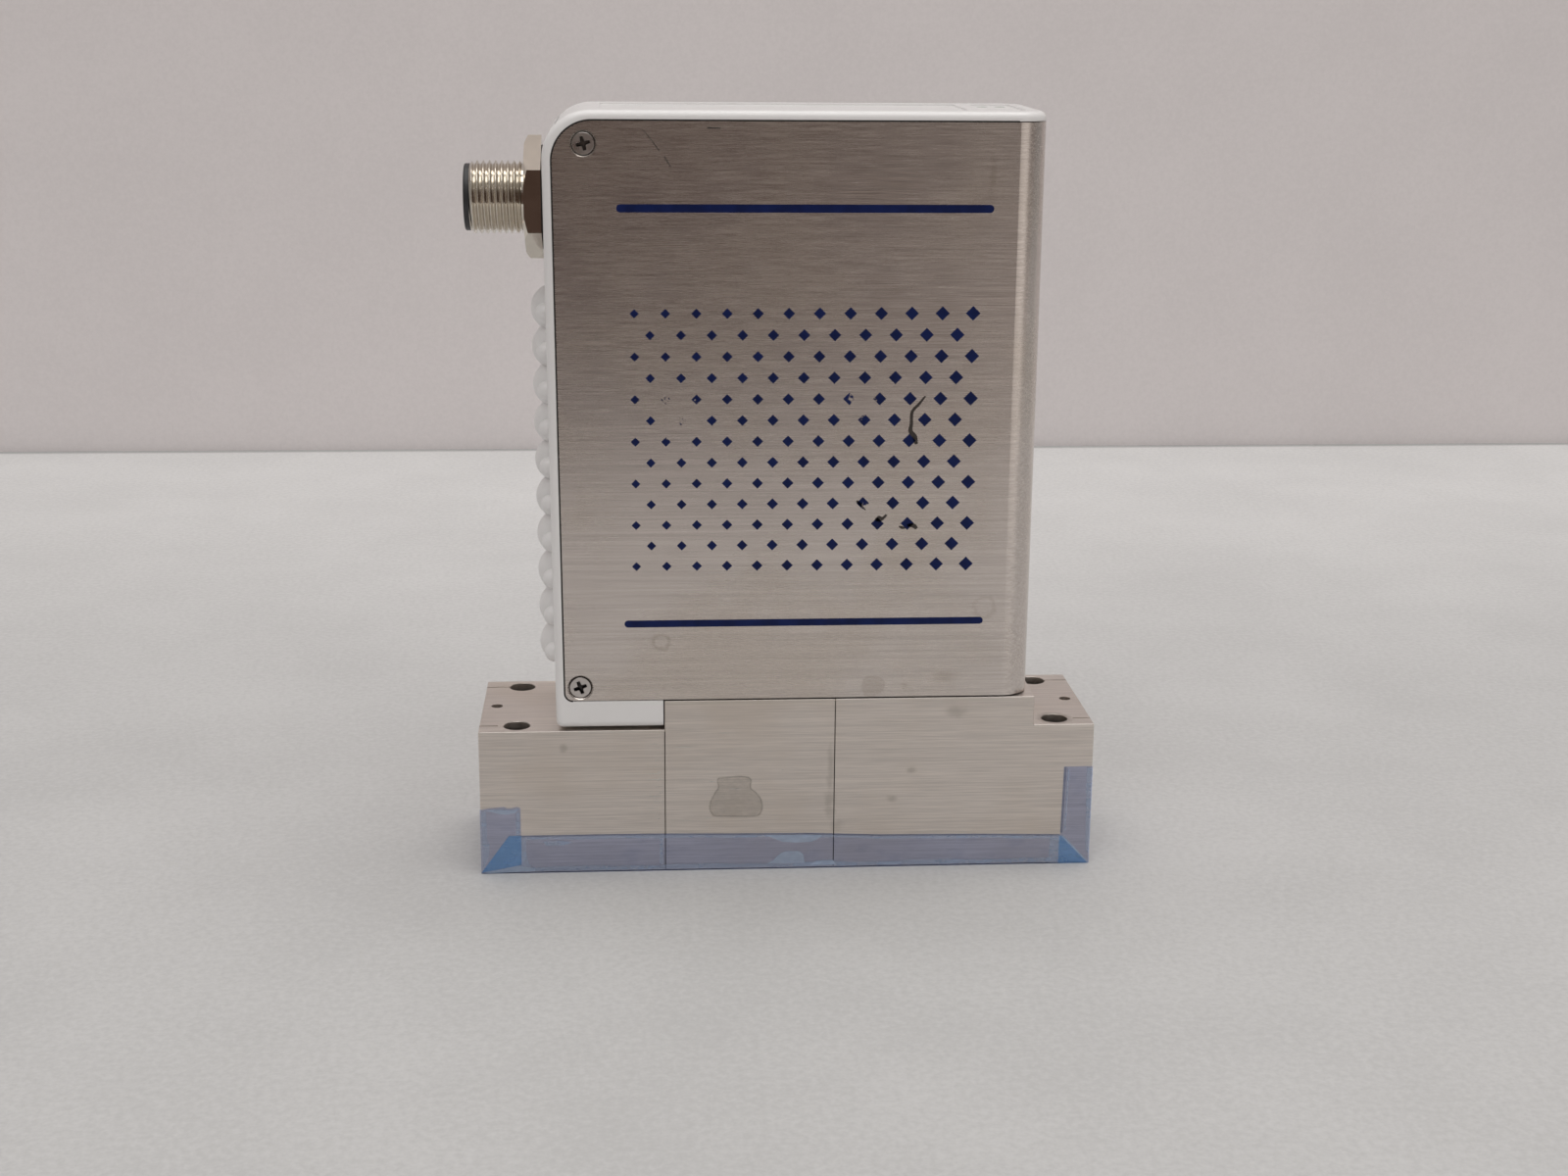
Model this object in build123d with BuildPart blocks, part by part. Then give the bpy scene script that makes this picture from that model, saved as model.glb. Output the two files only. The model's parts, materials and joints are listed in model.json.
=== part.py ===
from build123d import *
import math
import os

# Thermal mass flow controller, 105 mm long, for a 1.125 in surface-mount substrate.
# Origin: centre of the four mounting holes, on the sealing face under the base.
# +X runs along the flow from inlet to outlet, +Y to the back, +Z up. Millimetres.

os.makedirs("parts", exist_ok=True)


# ---------------------------------------------------------------- driving dimensions
# base
base_len = 105.0
base_width = 28.6
shoulder_h = 25.4           # top of the low ends that the mounting screws bear on
body_h = 30.5               # top of the raised middle
seam_in_x = -21.1           # inlet block | bypass block
seam_out_x = 7.85           # bypass block | outlet block
shoulder_x = 41.95          # where the outlet block steps down
edge_break = 0.1            # chamfer on machined edges

# mounting holes, ports and leak-check holes
bolt_spacing_x = 92.3
bolt_spacing_y = 21.8
bolt_hole_d = 4.5
port_bore_d = 4.6
gland_d = 7.9
gland_depth = 1.2
leak_hole_d = 2.0
groove_w = 0.35             # vent grooves from each mounting hole to the end of its block
groove_depth = 0.4
groove_land = 0.95          # metal left between the front grooves and their holes

# gas galleries
gallery_d = 4.0
gallery_z = 13.0
outlet_gallery_d = 3.5
outlet_gallery_z = 5.5
drill_over = 0.5            # how far a drilled way runs past the one it meets
plug_len = 6.0
plug_set_back = 0.2

# screw heads, as parts of the head or thread diameter
key_ratio = 0.45            # hexagon socket to head
pan_ratio = 0.62            # pan head height to thread
recess_ratio = 1.1          # cross recess length to thread
recess_w_ratio = 0.25       # cross recess width to thread

# seam seals and tie screws
seal_width = 1.5
seal_thick = 1.5
seal_clear = 0.1
tie_d = 3.0
tie_head_d = 5.5
tie_head_h = 3.0
tie_y = 5.5
tie_low_z = 4.8
tie_high_z = 20.4
tie_bite = 7.0              # thread length in the bypass block
thread_clear = 0.05
bore_clear = 0.15
head_clear = 0.25

# laminar flow element
lfe_bore_d = 9.5
lfe_bore_wall = 5.5         # solid wall left at the inlet seam
lfe_len = 10.4
lfe_flutes = 12
lfe_flute_w = 0.7
lfe_flute_depth = 1.3
lfe_nose_len = 2.6
lfe_stem_d = 3.0
lfe_clear = 0.01

# sensor
sensor_len = 18.0
sensor_width = 21.0
sensor_base_h = 5.0
tap_pitch = 12.0
tap_d = 1.2
tap_seal_d = 4.0
tap_seal_depth = 0.8
tube_d = 0.8
tube_rise = 11.0
tube_bend_r = 2.5
tube_clear = 0.05
winding_len = 3.0
winding_gap = 0.9
winding_d = 2.0
can_len = 16.0
can_width = 10.6
can_h = 15.0
can_wall = 1.0
sensor_screw_d = 2.5
sensor_screw_head_d = 4.5
sensor_screw_head_h = 2.5
sensor_screw_x = 6.4
sensor_screw_y = 8.1
sensor_screw_bite = 6.0

# valve
valve_x = 24.9
chamber_d = 16.0
chamber_floor_z = 23.4
orifice_d = 6.4
orifice_pocket_z = 19.0
orifice_bore_d = 1.2
seat_land_d = 3.2
seat_land_h = 0.8
riser_x = 6.0               # inlet riser, measured from the valve axis
riser_d = 2.6
drain_d = 2.4
flange_side = 22.0
flange_h = 4.5
core_tube_d = 11.0
core_tube_wall = 0.7
plunger_len = 24.0
plunger_clear = 0.08
plunger_tip_d = 6.6
plunger_tip_len = 3.0
seat_gap = 0.02
valve_stroke = 0.3
pole_clear = 0.2            # left over the plunger when the valve is fully open
poppet_d = 4.2
poppet_h = 1.2
spring_wire = 0.5
spring_mean_d = 4.2
spring_pitch = 1.25
spring_bore_d = 5.4
spring_bore_depth = 6.0
valve_screw_d = 3.0
valve_screw_head_d = 5.5
valve_screw_head_h = 3.0
valve_screw_pitch = 17.2
valve_screw_bite = 6.5
bobbin_z0 = 40.4
bobbin_len = 20.0
bobbin_d = 17.6
bobbin_wall = 0.9
winding_clear = 0.1
yoke_t = 2.0
yoke_width = 14.4
nut_af = 8.0
nut_h = 3.0
stud_d = 5.0
stud_proud = 1.0

# electronics
board_t = 1.6
board_rear_gap = 0.5        # main board to the rear lip
board_x0 = -30.0
board_x1 = 36.5
board_z0 = 40.0
board_top_gap = 6.6
bracket_t = 1.2
bracket_w = 5.4
bracket_x = 10.8
bracket_top = 56.0
bracket_screw_d = 2.5
bracket_foot = 3.5
bracket_bite = 5.0
board_screw_z = [44.0, 52.0]
chip_x = -4.0
chip_z = 98.0
chip_side = 14.0
chip_t = 1.5
chip_lead = 1.0
small_chips = [(-22.0, 88.0, 5.0, 6.0), (13.0, 104.0, 8.0, 5.0), (13.0, 94.0, 5.0, 4.0),
               (-14.0, 82.0, 6.0, 5.0), (2.0, 80.0, 5.0, 4.0), (-24.0, 76.0, 4.0, 5.0)]
small_chip_t = 1.4
capacitor_places = [(30.0, 112.0), (30.0, 103.0), (22.0, 112.0)]
capacitor_d = 6.2
capacitor_h = 6.5
capacitor_foot = 6.6
capacitor_foot_t = 0.8
converter_x = 27.0
converter_z = 86.0
converter_w = 15.0
converter_h = 17.0
converter_t = 7.5
header_w = 9.0
header_h = 5.0
header_t = 5.5
sensor_header_z = 66.0
valve_header_z = 72.0
flex_w = 7.0
flex_t = 0.3
flex_reach = 2.0            # how far the flex lies over the sensor can on each side
lead_d = 1.2
lead_pitch_top = 2.5
lead_pitch_low = 0.8
link_w = 7.0
link_h = 12.0
link_t = 5.0
connector_board_x = -31.5
connector_board_w = 17.0
connector_board_h = 14.0

# housing
top_z = 128.1
housing_z0 = 25.9           # underside of the moulding, just clear of the inlet block
wall_x0 = -39.35            # outside of the left wall at its foot
wall_lean = 0.42            # mould draft of the left wall, degrees
wall_t = 2.2
foot_x1 = -21.3
foot_t = 2.5
foot_screw_x = -30.0
foot_screw_y = 8.8
foot_screw_bite = 5.0
corner_r = 7.75
foot_corner_r = 1.2
edge_r = 1.2
lip_w = 9.0
lip_t = 1.5
lip_end_x = 35.0
boss_d = 6.0
boss_len = 6.5
rail_t = 1.2                # rail that keeps the main board against the rear lip
rail_h = 6.0
pad_d = 4.0
pad_offset = 5.5

# raised dots on the left wall
dot_rows = 10
dot_row_pitch = 6.42
dot_top_z = 95.15
dot_r = 4.0                 # larger than half the pitch, so that neighbours merge
dot_sink = 1.1
small_dot_r = 1.7
small_dot_rise = 0.2        # how far the small dots' centres stand off the wall
small_dot_y = 7.2

# steel cover
cover_x1 = 41.0
cover_strip = 1.65          # white strip left of the sheet and above it
cover_z0 = 30.8
cover_t = 0.8
cover_bend_r = 4.75
cover_corner_r = 6.4
cover_low_corner_r = 1.3
cover_gap = 0.15            # joint line between the sheet and the moulding
lip_gap = 0.1               # sheet to the lips behind it
screw_x = [-33.4, -35.2]
screw_drop = 5.2            # top screws below the top face
screw_low_z = 33.05
screw_turn = [15.0, 20.0]
cover_screw_d = 2.5
cover_screw_head_d = 4.2
cover_screw_len = 6.0
cross_w = 0.55
cross_len = 2.3
cross_depth = 0.7

# top face
label_x0 = -31.0
label_x1 = 28.5
label_y = 9.5
label_depth = 0.25
light_panel_x0 = 31.0
light_panel_x1 = 38.0
light_d = 1.8
light_x = [33.0, 36.0]
light_y = 6.0
light_tail = 3.0            # length of each light guide inside the case

# round connector
m12_drop = 14.8             # connector axis below the top face
m12_thread_d = 11.9
m12_tip_x = -52.2
m12_thread_x1 = -43.7
m12_relief_d = 10.7
m12_chamfer = 0.35
hex_x0 = -43.2
hex_t = 2.8
hex_af = 17.4
hex_chamfer = 0.8
hex_land = 0.3              # the chamfer starts this far outside the flats
stub_d = 15.8
stub_end_x = -32.8
insert_d = 10.9
insert_proud = 0.9
insert_body_d = 9.8
insert_cup_d = 8.5
insert_cup_depth = 8.5
insert_len = 18.5
key_w = 1.2                 # coding key inside the cup
key_h = 0.8
pin_d = 1.0
pin_circle_d = 7.0
pin_set_back = 0.8
locknut_af = 18.0
locknut_t = 3.0
m12_seal_w = 0.5

# protective film
film_t = 0.1
film_front_h = 6.3
film_left_h = 11.6
film_right_h = 17.6
film_left_ear = 6.7
film_right_ear = 5.3


# ---------------------------------------------------------------- derived values
half_len = base_len / 2
half_width = base_width / 2
bolt_x = bolt_spacing_x / 2
bolt_y = bolt_spacing_y / 2
port_x = bolt_x
leak_x = port_x + gland_d / 2
bypass_x = (seam_in_x + seam_out_x) / 2
lean = math.tan(math.radians(wall_lean))
inner_y = half_width - cover_t          # inside face of the steel sheet
lip_y = inner_y - lip_gap               # outside face of the lips
cover_z1 = top_z - cover_strip
screw_z = [top_z - screw_drop, screw_low_z]
m12_z = top_z - m12_drop
board_y0 = lip_y - lip_t - board_rear_gap - board_t     # component face of the main board
board_z1 = top_z - board_top_gap
seal_r = {seam_in_x: gallery_d / 2 + 0.4, seam_out_x: lfe_bore_d / 2 + 0.4}


def wall_x(z):
    """Outside of the leaning left wall at height z."""
    return wall_x0 - (z - housing_z0) * lean


def save(piece, node):
    """Label a finished piece and write its file."""
    piece.part.label = node
    export_step(piece.part, f"parts/{node}.step")


def across(x, y, z):
    """Plane at a point, looking along +X."""
    return Plane(origin=(x, y, z), x_dir=(0, 1, 0), z_dir=(1, 0, 0))


def drill_x(x0, x1, d, y, z):
    """Round hole along X."""
    with BuildSketch(across(x0, y, z)) as hole:
        Circle(d / 2)
    extrude(hole.sketch, amount=x1 - x0, mode=Mode.SUBTRACT)


def drill_z(z0, z1, d, x, y):
    """Round hole along Z."""
    with BuildSketch(Plane((x, y, z0))) as hole:
        Circle(d / 2)
    extrude(hole.sketch, amount=z1 - z0, mode=Mode.SUBTRACT)


# ---------------------------------------------------------------- base blocks
def tie_places():
    """The four tie screws' places in the YZ plane."""
    return [(y, z) for y in (-tie_y, tie_y) for z in (tie_low_z, tie_high_z)]


def block_outline(x0, x1, h):
    """Plain block between two seams or ends."""
    with BuildSketch(Plane((0, 0, 0))) as plan:
        with Locations(((x0 + x1) / 2, 0)):
            Rectangle(x1 - x0, base_width)
    extrude(plan.sketch, amount=h)


def end_details(side):
    """Mounting holes, port, leak-check hole and vent grooves at one end; side is -1 or 1."""
    for y in (-bolt_y, bolt_y):
        drill_z(0, shoulder_h, bolt_hole_d, side * bolt_x, y)
    rims = edges().filter_by(GeomType.CIRCLE).group_by(Axis.Z)[-1]
    chamfer(rims, edge_break)
    drill_z(0, gland_depth, gland_d, side * port_x, 0)
    drill_z(0, shoulder_h, leak_hole_d, side * leak_x, 0)
    front_stop = bolt_x + bolt_hole_d / 2 + groove_land
    rear_stop = bolt_x + bolt_hole_d / 2 - drill_over
    for y, stop in ((-bolt_y, front_stop), (bolt_y, rear_stop)):
        with BuildSketch(Plane((side * (stop + half_len) / 2, y, shoulder_h))) as groove:
            Rectangle(half_len - stop, groove_w)
        extrude(groove.sketch, amount=-groove_depth, mode=Mode.SUBTRACT)


def tie_passages(head_x, seam_x):
    """Clearance holes and head recesses for the tie screws that enter at one end."""
    inward = math.copysign(tie_head_h, -head_x)
    for y, z in tie_places():
        drill_x(head_x, seam_x, tie_d + 2 * bore_clear, y, z)
        drill_x(head_x, head_x + inward, tie_head_d + 2 * head_clear, y, z)


with BuildPart() as inlet_block:
    block_outline(-half_len, seam_in_x, shoulder_h)
    chamfer(edges(), edge_break)
    end_details(-1)
    drill_z(0, gallery_z + gallery_d / 2 + drill_over, port_bore_d, -port_x, 0)
    drill_x(seam_in_x, -port_x, gallery_d, 0, gallery_z)
    tie_passages(-half_len, seam_in_x)
    for y in (-foot_screw_y, foot_screw_y):
        drill_z(shoulder_h - foot_screw_bite - 1, shoulder_h, tie_d, foot_screw_x, y)
save(inlet_block, "inlet_block")

with BuildPart() as bypass_block:
    block_outline(seam_in_x, seam_out_x, body_h)
    chamfer(edges(), edge_break)
    lfe_bore_x0 = seam_in_x + lfe_bore_wall
    drill_x(seam_in_x, seam_out_x, gallery_d, 0, gallery_z)
    drill_x(lfe_bore_x0, seam_out_x, lfe_bore_d, 0, gallery_z)
    for seam_x, inward in ((seam_in_x, seal_thick), (seam_out_x, -seal_thick)):
        outer = 2 * (seal_r[seam_x] + seal_width + seal_clear)
        with BuildSketch(across(seam_x, 0, gallery_z)):
            Circle(outer / 2)
            Circle(seal_r[seam_x] - seal_clear, mode=Mode.SUBTRACT)
        extrude(amount=inward, mode=Mode.SUBTRACT)
    for y, z in tie_places():
        drill_x(seam_in_x, seam_in_x + tie_bite + 1, tie_d, y, z)
        drill_x(seam_out_x - tie_bite - 1, seam_out_x, tie_d, y, z)
    for x in (bypass_x - tap_pitch / 2, bypass_x + tap_pitch / 2):
        drill_z(gallery_z, body_h, tap_d, x, 0)
        drill_z(body_h - tap_seal_depth, body_h, tap_seal_d, x, 0)
    for x in (bypass_x - sensor_screw_x, bypass_x + sensor_screw_x):
        for y in (-sensor_screw_y, sensor_screw_y):
            drill_z(body_h - sensor_screw_bite - 1, body_h, sensor_screw_d, x, y)
save(bypass_block, "bypass_block")

with BuildPart() as outlet_block:
    block_outline(seam_out_x, half_len, body_h)
    with BuildSketch(Plane(((shoulder_x + half_len) / 2, 0, body_h))):
        Rectangle(half_len - shoulder_x, base_width)
    extrude(amount=shoulder_h - body_h, mode=Mode.SUBTRACT)
    chamfer(edges(), edge_break)
    end_details(1)
    drill_z(0, outlet_gallery_z + port_bore_d / 2, port_bore_d, port_x, 0)
    drill_x(seam_out_x, port_x, outlet_gallery_d, 0, outlet_gallery_z)
    riser_at = valve_x - riser_x
    drill_x(seam_out_x, riser_at + riser_d / 2 + drill_over, gallery_d, 0, gallery_z)
    drill_z(gallery_z, chamber_floor_z, riser_d, riser_at, 0)
    drill_z(chamber_floor_z, body_h, chamber_d, valve_x, 0)
    drill_z(orifice_pocket_z, chamber_floor_z, orifice_d, valve_x, 0)
    drill_z(outlet_gallery_z, orifice_pocket_z, drain_d, valve_x, 0)
    drill_z(body_h - seal_thick, body_h, chamber_d + 2 * (seal_width + seal_clear), valve_x, 0)
    tie_passages(half_len, seam_out_x)
    for x in (valve_x - valve_screw_pitch / 2, valve_x + valve_screw_pitch / 2):
        for y in (-valve_screw_pitch / 2, valve_screw_pitch / 2):
            drill_z(body_h - valve_screw_bite - 1, body_h, valve_screw_d, x, y)
    drill_z(body_h - bracket_bite - 1, body_h, bracket_screw_d, bracket_x, 0)
save(outlet_block, "outlet_block")

with BuildPart() as seam_seals:
    for seam_x, inward in ((seam_in_x, seal_thick), (seam_out_x, -seal_thick)):
        with BuildSketch(across(seam_x, 0, gallery_z)):
            Circle(seal_r[seam_x] + seal_width)
            Circle(seal_r[seam_x], mode=Mode.SUBTRACT)
        extrude(amount=inward)
save(seam_seals, "seam_seals")

with BuildPart() as gallery_plug:
    with BuildSketch(across(seam_out_x + plug_set_back, 0, outlet_gallery_z)):
        Circle(outlet_gallery_d / 2)
    extrude(amount=plug_len)
    chamfer(edges(), edge_break)
save(gallery_plug, "gallery_plug")


# ---------------------------------------------------------------- screws
def socket_screw(plane, d, head_d, head_h, length):
    """Socket head cap screw: the plane lies under the head, its normal points out of the head."""
    key = key_ratio * head_d
    with BuildSketch(plane) as head:
        Circle(head_d / 2)
    extrude(head.sketch, amount=head_h)
    with BuildSketch(plane) as shank:
        Circle(d / 2 - thread_clear)
    extrude(shank.sketch, amount=-length)
    with BuildSketch(plane.offset(head_h)) as socket:
        RegularPolygon(key / 2, 6, major_radius=False)
    extrude(socket.sketch, amount=-head_h / 2, mode=Mode.SUBTRACT)


def pan_screw(plane, d, length):
    """Pan head screw with a cross recess: the plane lies under the head."""
    head_h = pan_ratio * d
    with BuildSketch(plane) as head:
        Circle(d)
    extrude(head.sketch, amount=head_h, taper=20)
    with BuildSketch(plane) as shank:
        Circle(d / 2 - thread_clear)
    extrude(shank.sketch, amount=-length)
    with BuildSketch(plane.offset(head_h)) as cross:
        Rectangle(recess_ratio * d, recess_w_ratio * d)
        Rectangle(recess_w_ratio * d, recess_ratio * d)
    extrude(cross.sketch, amount=-head_h / 2, mode=Mode.SUBTRACT)


def x_plane(x, y, z, side):
    """Plane at a point, normal along +X or -X."""
    return Plane(origin=(x, y, z), x_dir=(0, 1, 0), z_dir=(side, 0, 0))


with BuildPart() as inlet_tie_screws:
    seat_x = -half_len + tie_head_h
    for y, z in tie_places():
        socket_screw(x_plane(seat_x, y, z, -1), tie_d, tie_head_d, tie_head_h, seam_in_x + tie_bite - seat_x)
save(inlet_tie_screws, "inlet_tie_screws")

with BuildPart() as outlet_tie_screws:
    seat_x = half_len - tie_head_h
    for y, z in tie_places():
        socket_screw(x_plane(seat_x, y, z, 1), tie_d, tie_head_d, tie_head_h, seat_x - seam_out_x + tie_bite)
save(outlet_tie_screws, "outlet_tie_screws")


# ---------------------------------------------------------------- laminar flow element
with BuildPart() as laminar_flow_element:
    lfe_r = lfe_bore_d / 2 - lfe_clear
    lfe_x0 = bypass_x - lfe_len / 2
    with BuildSketch(across(lfe_x0, 0, gallery_z)):
        Circle(lfe_r)
    extrude(amount=lfe_len)
    with BuildSketch(across(lfe_x0, 0, gallery_z)):
        with PolarLocations(lfe_r, lfe_flutes):
            Rectangle(2 * lfe_flute_depth, lfe_flute_w)
    extrude(amount=lfe_len, mode=Mode.SUBTRACT)
    with BuildSketch(across(lfe_x0, 0, gallery_z)):
        Circle(lfe_r - lfe_flute_depth)
    extrude(amount=-lfe_nose_len, taper=35)
    with BuildSketch(across(lfe_x0 + lfe_len, 0, gallery_z)):
        Circle(lfe_stem_d / 2)
    extrude(amount=seam_out_x - lfe_x0 - lfe_len - plug_set_back)
save(laminar_flow_element, "laminar_flow_element")


# ---------------------------------------------------------------- flow sensor
def tap_places():
    """The two sensor taps' centres."""
    return [(bypass_x - tap_pitch / 2, 0), (bypass_x + tap_pitch / 2, 0)]


def sensor_screw_places():
    """The four screws of the sensor base."""
    return [(bypass_x + i * sensor_screw_x, j * sensor_screw_y) for i in (-1, 1) for j in (-1, 1)]


with BuildPart() as sensor_seals:
    with BuildSketch(Plane((0, 0, body_h - tap_seal_depth))):
        with Locations(*tap_places()):
            Circle(tap_seal_d / 2 - seal_clear)
            Circle(tap_d / 2, mode=Mode.SUBTRACT)
    extrude(amount=tap_seal_depth)
save(sensor_seals, "sensor_seals")

with BuildPart() as sensor_base:
    with BuildSketch(Plane((bypass_x, 0, body_h))):
        Rectangle(sensor_len, sensor_width)
    extrude(amount=sensor_base_h)
    chamfer(edges().filter_by(Axis.Z), 1.0)
    chamfer(faces().sort_by(Axis.Z)[-1].edges(), 0.4)
    sensor_top = body_h + sensor_base_h
    for x, y in tap_places():
        drill_z(body_h, sensor_top, tube_d + 2 * tube_clear, x, y)
    for x, y in sensor_screw_places():
        drill_z(body_h, sensor_top, sensor_screw_d + 2 * bore_clear, x, y)
save(sensor_base, "sensor_base")

with BuildPart() as sensor_tube:
    tube_z0 = body_h + 0.5
    tube_z1 = sensor_top + tube_rise
    left_x = tap_places()[0][0]
    right_x = tap_places()[1][0]
    with BuildLine() as tube_path:
        FilletPolyline((left_x, 0, tube_z0), (left_x, 0, tube_z1), (right_x, 0, tube_z1),
                       (right_x, 0, tube_z0), radius=tube_bend_r)
    with BuildSketch(Plane((left_x, 0, tube_z0))):
        Circle(tube_d / 2)
    sweep()
save(sensor_tube, "sensor_tube")

with BuildPart() as sensor_windings:
    for start in (-winding_gap / 2 - winding_len, winding_gap / 2):
        with BuildSketch(across(bypass_x + start, 0, tube_z1)):
            Circle(winding_d / 2)
            Circle(tube_d / 2 + tube_clear, mode=Mode.SUBTRACT)
        extrude(amount=winding_len)
save(sensor_windings, "sensor_windings")

with BuildPart() as sensor_can:
    with BuildSketch(Plane((bypass_x, 0, sensor_top))):
        Rectangle(can_len, can_width)
    extrude(amount=can_h)
    fillet(edges().filter_by(Axis.Z), 2.0)
    fillet(faces().sort_by(Axis.Z)[-1].edges(), 1.2)
    with BuildSketch(Plane((bypass_x, 0, sensor_top))):
        RectangleRounded(can_len - 2 * can_wall, can_width - 2 * can_wall, 1.0)
    extrude(amount=can_h - can_wall, mode=Mode.SUBTRACT)
save(sensor_can, "sensor_can")

with BuildPart() as sensor_screws:
    for x, y in sensor_screw_places():
        socket_screw(Plane((x, y, sensor_top)), sensor_screw_d, sensor_screw_head_d,
                     sensor_screw_head_h, sensor_base_h + sensor_screw_bite)
save(sensor_screws, "sensor_screws")


# ---------------------------------------------------------------- control valve
seat_z = chamber_floor_z + seat_land_h
poppet_z = seat_z + seat_gap
plunger_z0 = poppet_z
plunger_z1 = plunger_z0 + plunger_len
pole_z0 = plunger_z1 + valve_stroke + pole_clear
core_bore_d = core_tube_d - 2 * core_tube_wall
flange_top = body_h + flange_h
core_tube_top = bobbin_z0 + bobbin_len

with BuildPart() as valve_orifice:
    with BuildSketch(Plane((valve_x, 0, orifice_pocket_z))):
        Circle(orifice_d / 2 - lfe_clear)
    extrude(amount=chamber_floor_z - orifice_pocket_z)
    with BuildSketch(Plane((valve_x, 0, chamber_floor_z))):
        Circle(seat_land_d / 2)
    extrude(amount=seat_land_h)
    drill_z(orifice_pocket_z, seat_z, orifice_bore_d, valve_x, 0)
save(valve_orifice, "valve_orifice")

with BuildPart() as valve_body_seal:
    with BuildSketch(Plane((valve_x, 0, body_h - seal_thick))):
        Circle(chamber_d / 2 + seal_width)
        Circle(chamber_d / 2 + seal_clear, mode=Mode.SUBTRACT)
    extrude(amount=seal_thick)
save(valve_body_seal, "valve_body_seal")

with BuildPart() as core_tube:
    with BuildSketch(Plane((valve_x, 0, body_h))):
        RectangleRounded(flange_side, flange_side, 2.0)
    extrude(amount=flange_h)
    with BuildSketch(Plane((valve_x, 0, flange_top))):
        Circle(core_tube_d / 2)
    extrude(amount=core_tube_top - flange_top)
    drill_z(body_h, core_tube_top, core_bore_d, valve_x, 0)
    for i in (-1, 1):
        for j in (-1, 1):
            drill_z(body_h, flange_top, valve_screw_d + 2 * bore_clear,
                    valve_x + i * valve_screw_pitch / 2, j * valve_screw_pitch / 2)
save(core_tube, "core_tube")

with BuildPart() as valve_screws:
    for i in (-1, 1):
        for j in (-1, 1):
            socket_screw(Plane((valve_x + i * valve_screw_pitch / 2, j * valve_screw_pitch / 2, flange_top)),
                         valve_screw_d, valve_screw_head_d, valve_screw_head_h, flange_h + valve_screw_bite)
save(valve_screws, "valve_screws")

with BuildPart() as plunger:
    with BuildSketch(Plane((valve_x, 0, plunger_z0))):
        Circle(plunger_tip_d / 2)
    extrude(amount=plunger_tip_len)
    with BuildSketch(Plane((valve_x, 0, plunger_z0 + plunger_tip_len))):
        Circle(core_bore_d / 2 - plunger_clear)
    extrude(amount=plunger_len - plunger_tip_len)
    chamfer(edges().group_by(Axis.Z)[-1], 0.4)
    drill_z(plunger_z0, plunger_z0 + poppet_h, poppet_d, valve_x, 0)
    drill_z(plunger_z1 - spring_bore_depth, plunger_z1, spring_bore_d, valve_x, 0)
    for side in (-1, 1):
        with BuildSketch(Plane((valve_x + side * core_bore_d / 2, 0, plunger_z0 + plunger_tip_len))):
            Rectangle(1.0, 1.2)
        extrude(amount=plunger_len - plunger_tip_len, mode=Mode.SUBTRACT)
save(plunger, "plunger")

with BuildPart() as plunger_seal:
    with BuildSketch(Plane((valve_x, 0, poppet_z))):
        Circle(poppet_d / 2)
    extrude(amount=poppet_h)
save(plunger_seal, "plunger_seal")

with BuildPart() as pole_piece:
    with BuildSketch(Plane((valve_x, 0, pole_z0))):
        Circle(core_bore_d / 2 - lfe_clear)
    extrude(amount=core_tube_top - pole_z0)
    with BuildSketch(Plane((valve_x, 0, core_tube_top))):
        Circle(stud_d / 2)
    extrude(amount=yoke_t + nut_h + stud_proud)
    chamfer(edges().group_by(Axis.Z)[-1], 0.4)
save(pole_piece, "pole_piece")

with BuildPart() as plunger_spring:
    spring_z0 = plunger_z1 - spring_bore_depth + spring_wire / 2
    spring_len = pole_z0 - spring_z0 - spring_wire / 2
    with BuildLine(Plane((valve_x, 0, spring_z0))) as coil_line:
        Helix(pitch=spring_pitch, height=spring_len, radius=spring_mean_d / 2)
    with BuildSketch(Plane(origin=coil_line.line @ 0, z_dir=coil_line.line % 0)):
        Circle(spring_wire / 2 - 0.01)
    sweep(is_frenet=True)
save(plunger_spring, "plunger_spring")

with BuildPart() as coil_bobbin:
    with BuildSketch(Plane((valve_x, 0, bobbin_z0))):
        Circle(core_tube_d / 2 + winding_clear + bobbin_wall)
        Circle(core_tube_d / 2 + winding_clear, mode=Mode.SUBTRACT)
    extrude(amount=bobbin_len)
    for z in (bobbin_z0, bobbin_z0 + bobbin_len - bobbin_wall):
        with BuildSketch(Plane((valve_x, 0, z))):
            Circle(bobbin_d / 2)
            Circle(core_tube_d / 2 + winding_clear, mode=Mode.SUBTRACT)
        extrude(amount=bobbin_wall)
save(coil_bobbin, "coil_bobbin")

with BuildPart() as coil_winding:
    with BuildSketch(Plane((valve_x, 0, bobbin_z0 + bobbin_wall + winding_clear))):
        Circle(bobbin_d / 2 - 0.8)
        Circle(core_tube_d / 2 + 2 * winding_clear + bobbin_wall, mode=Mode.SUBTRACT)
    extrude(amount=bobbin_len - 2 * bobbin_wall - 2 * winding_clear)
save(coil_winding, "coil_winding")

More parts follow.
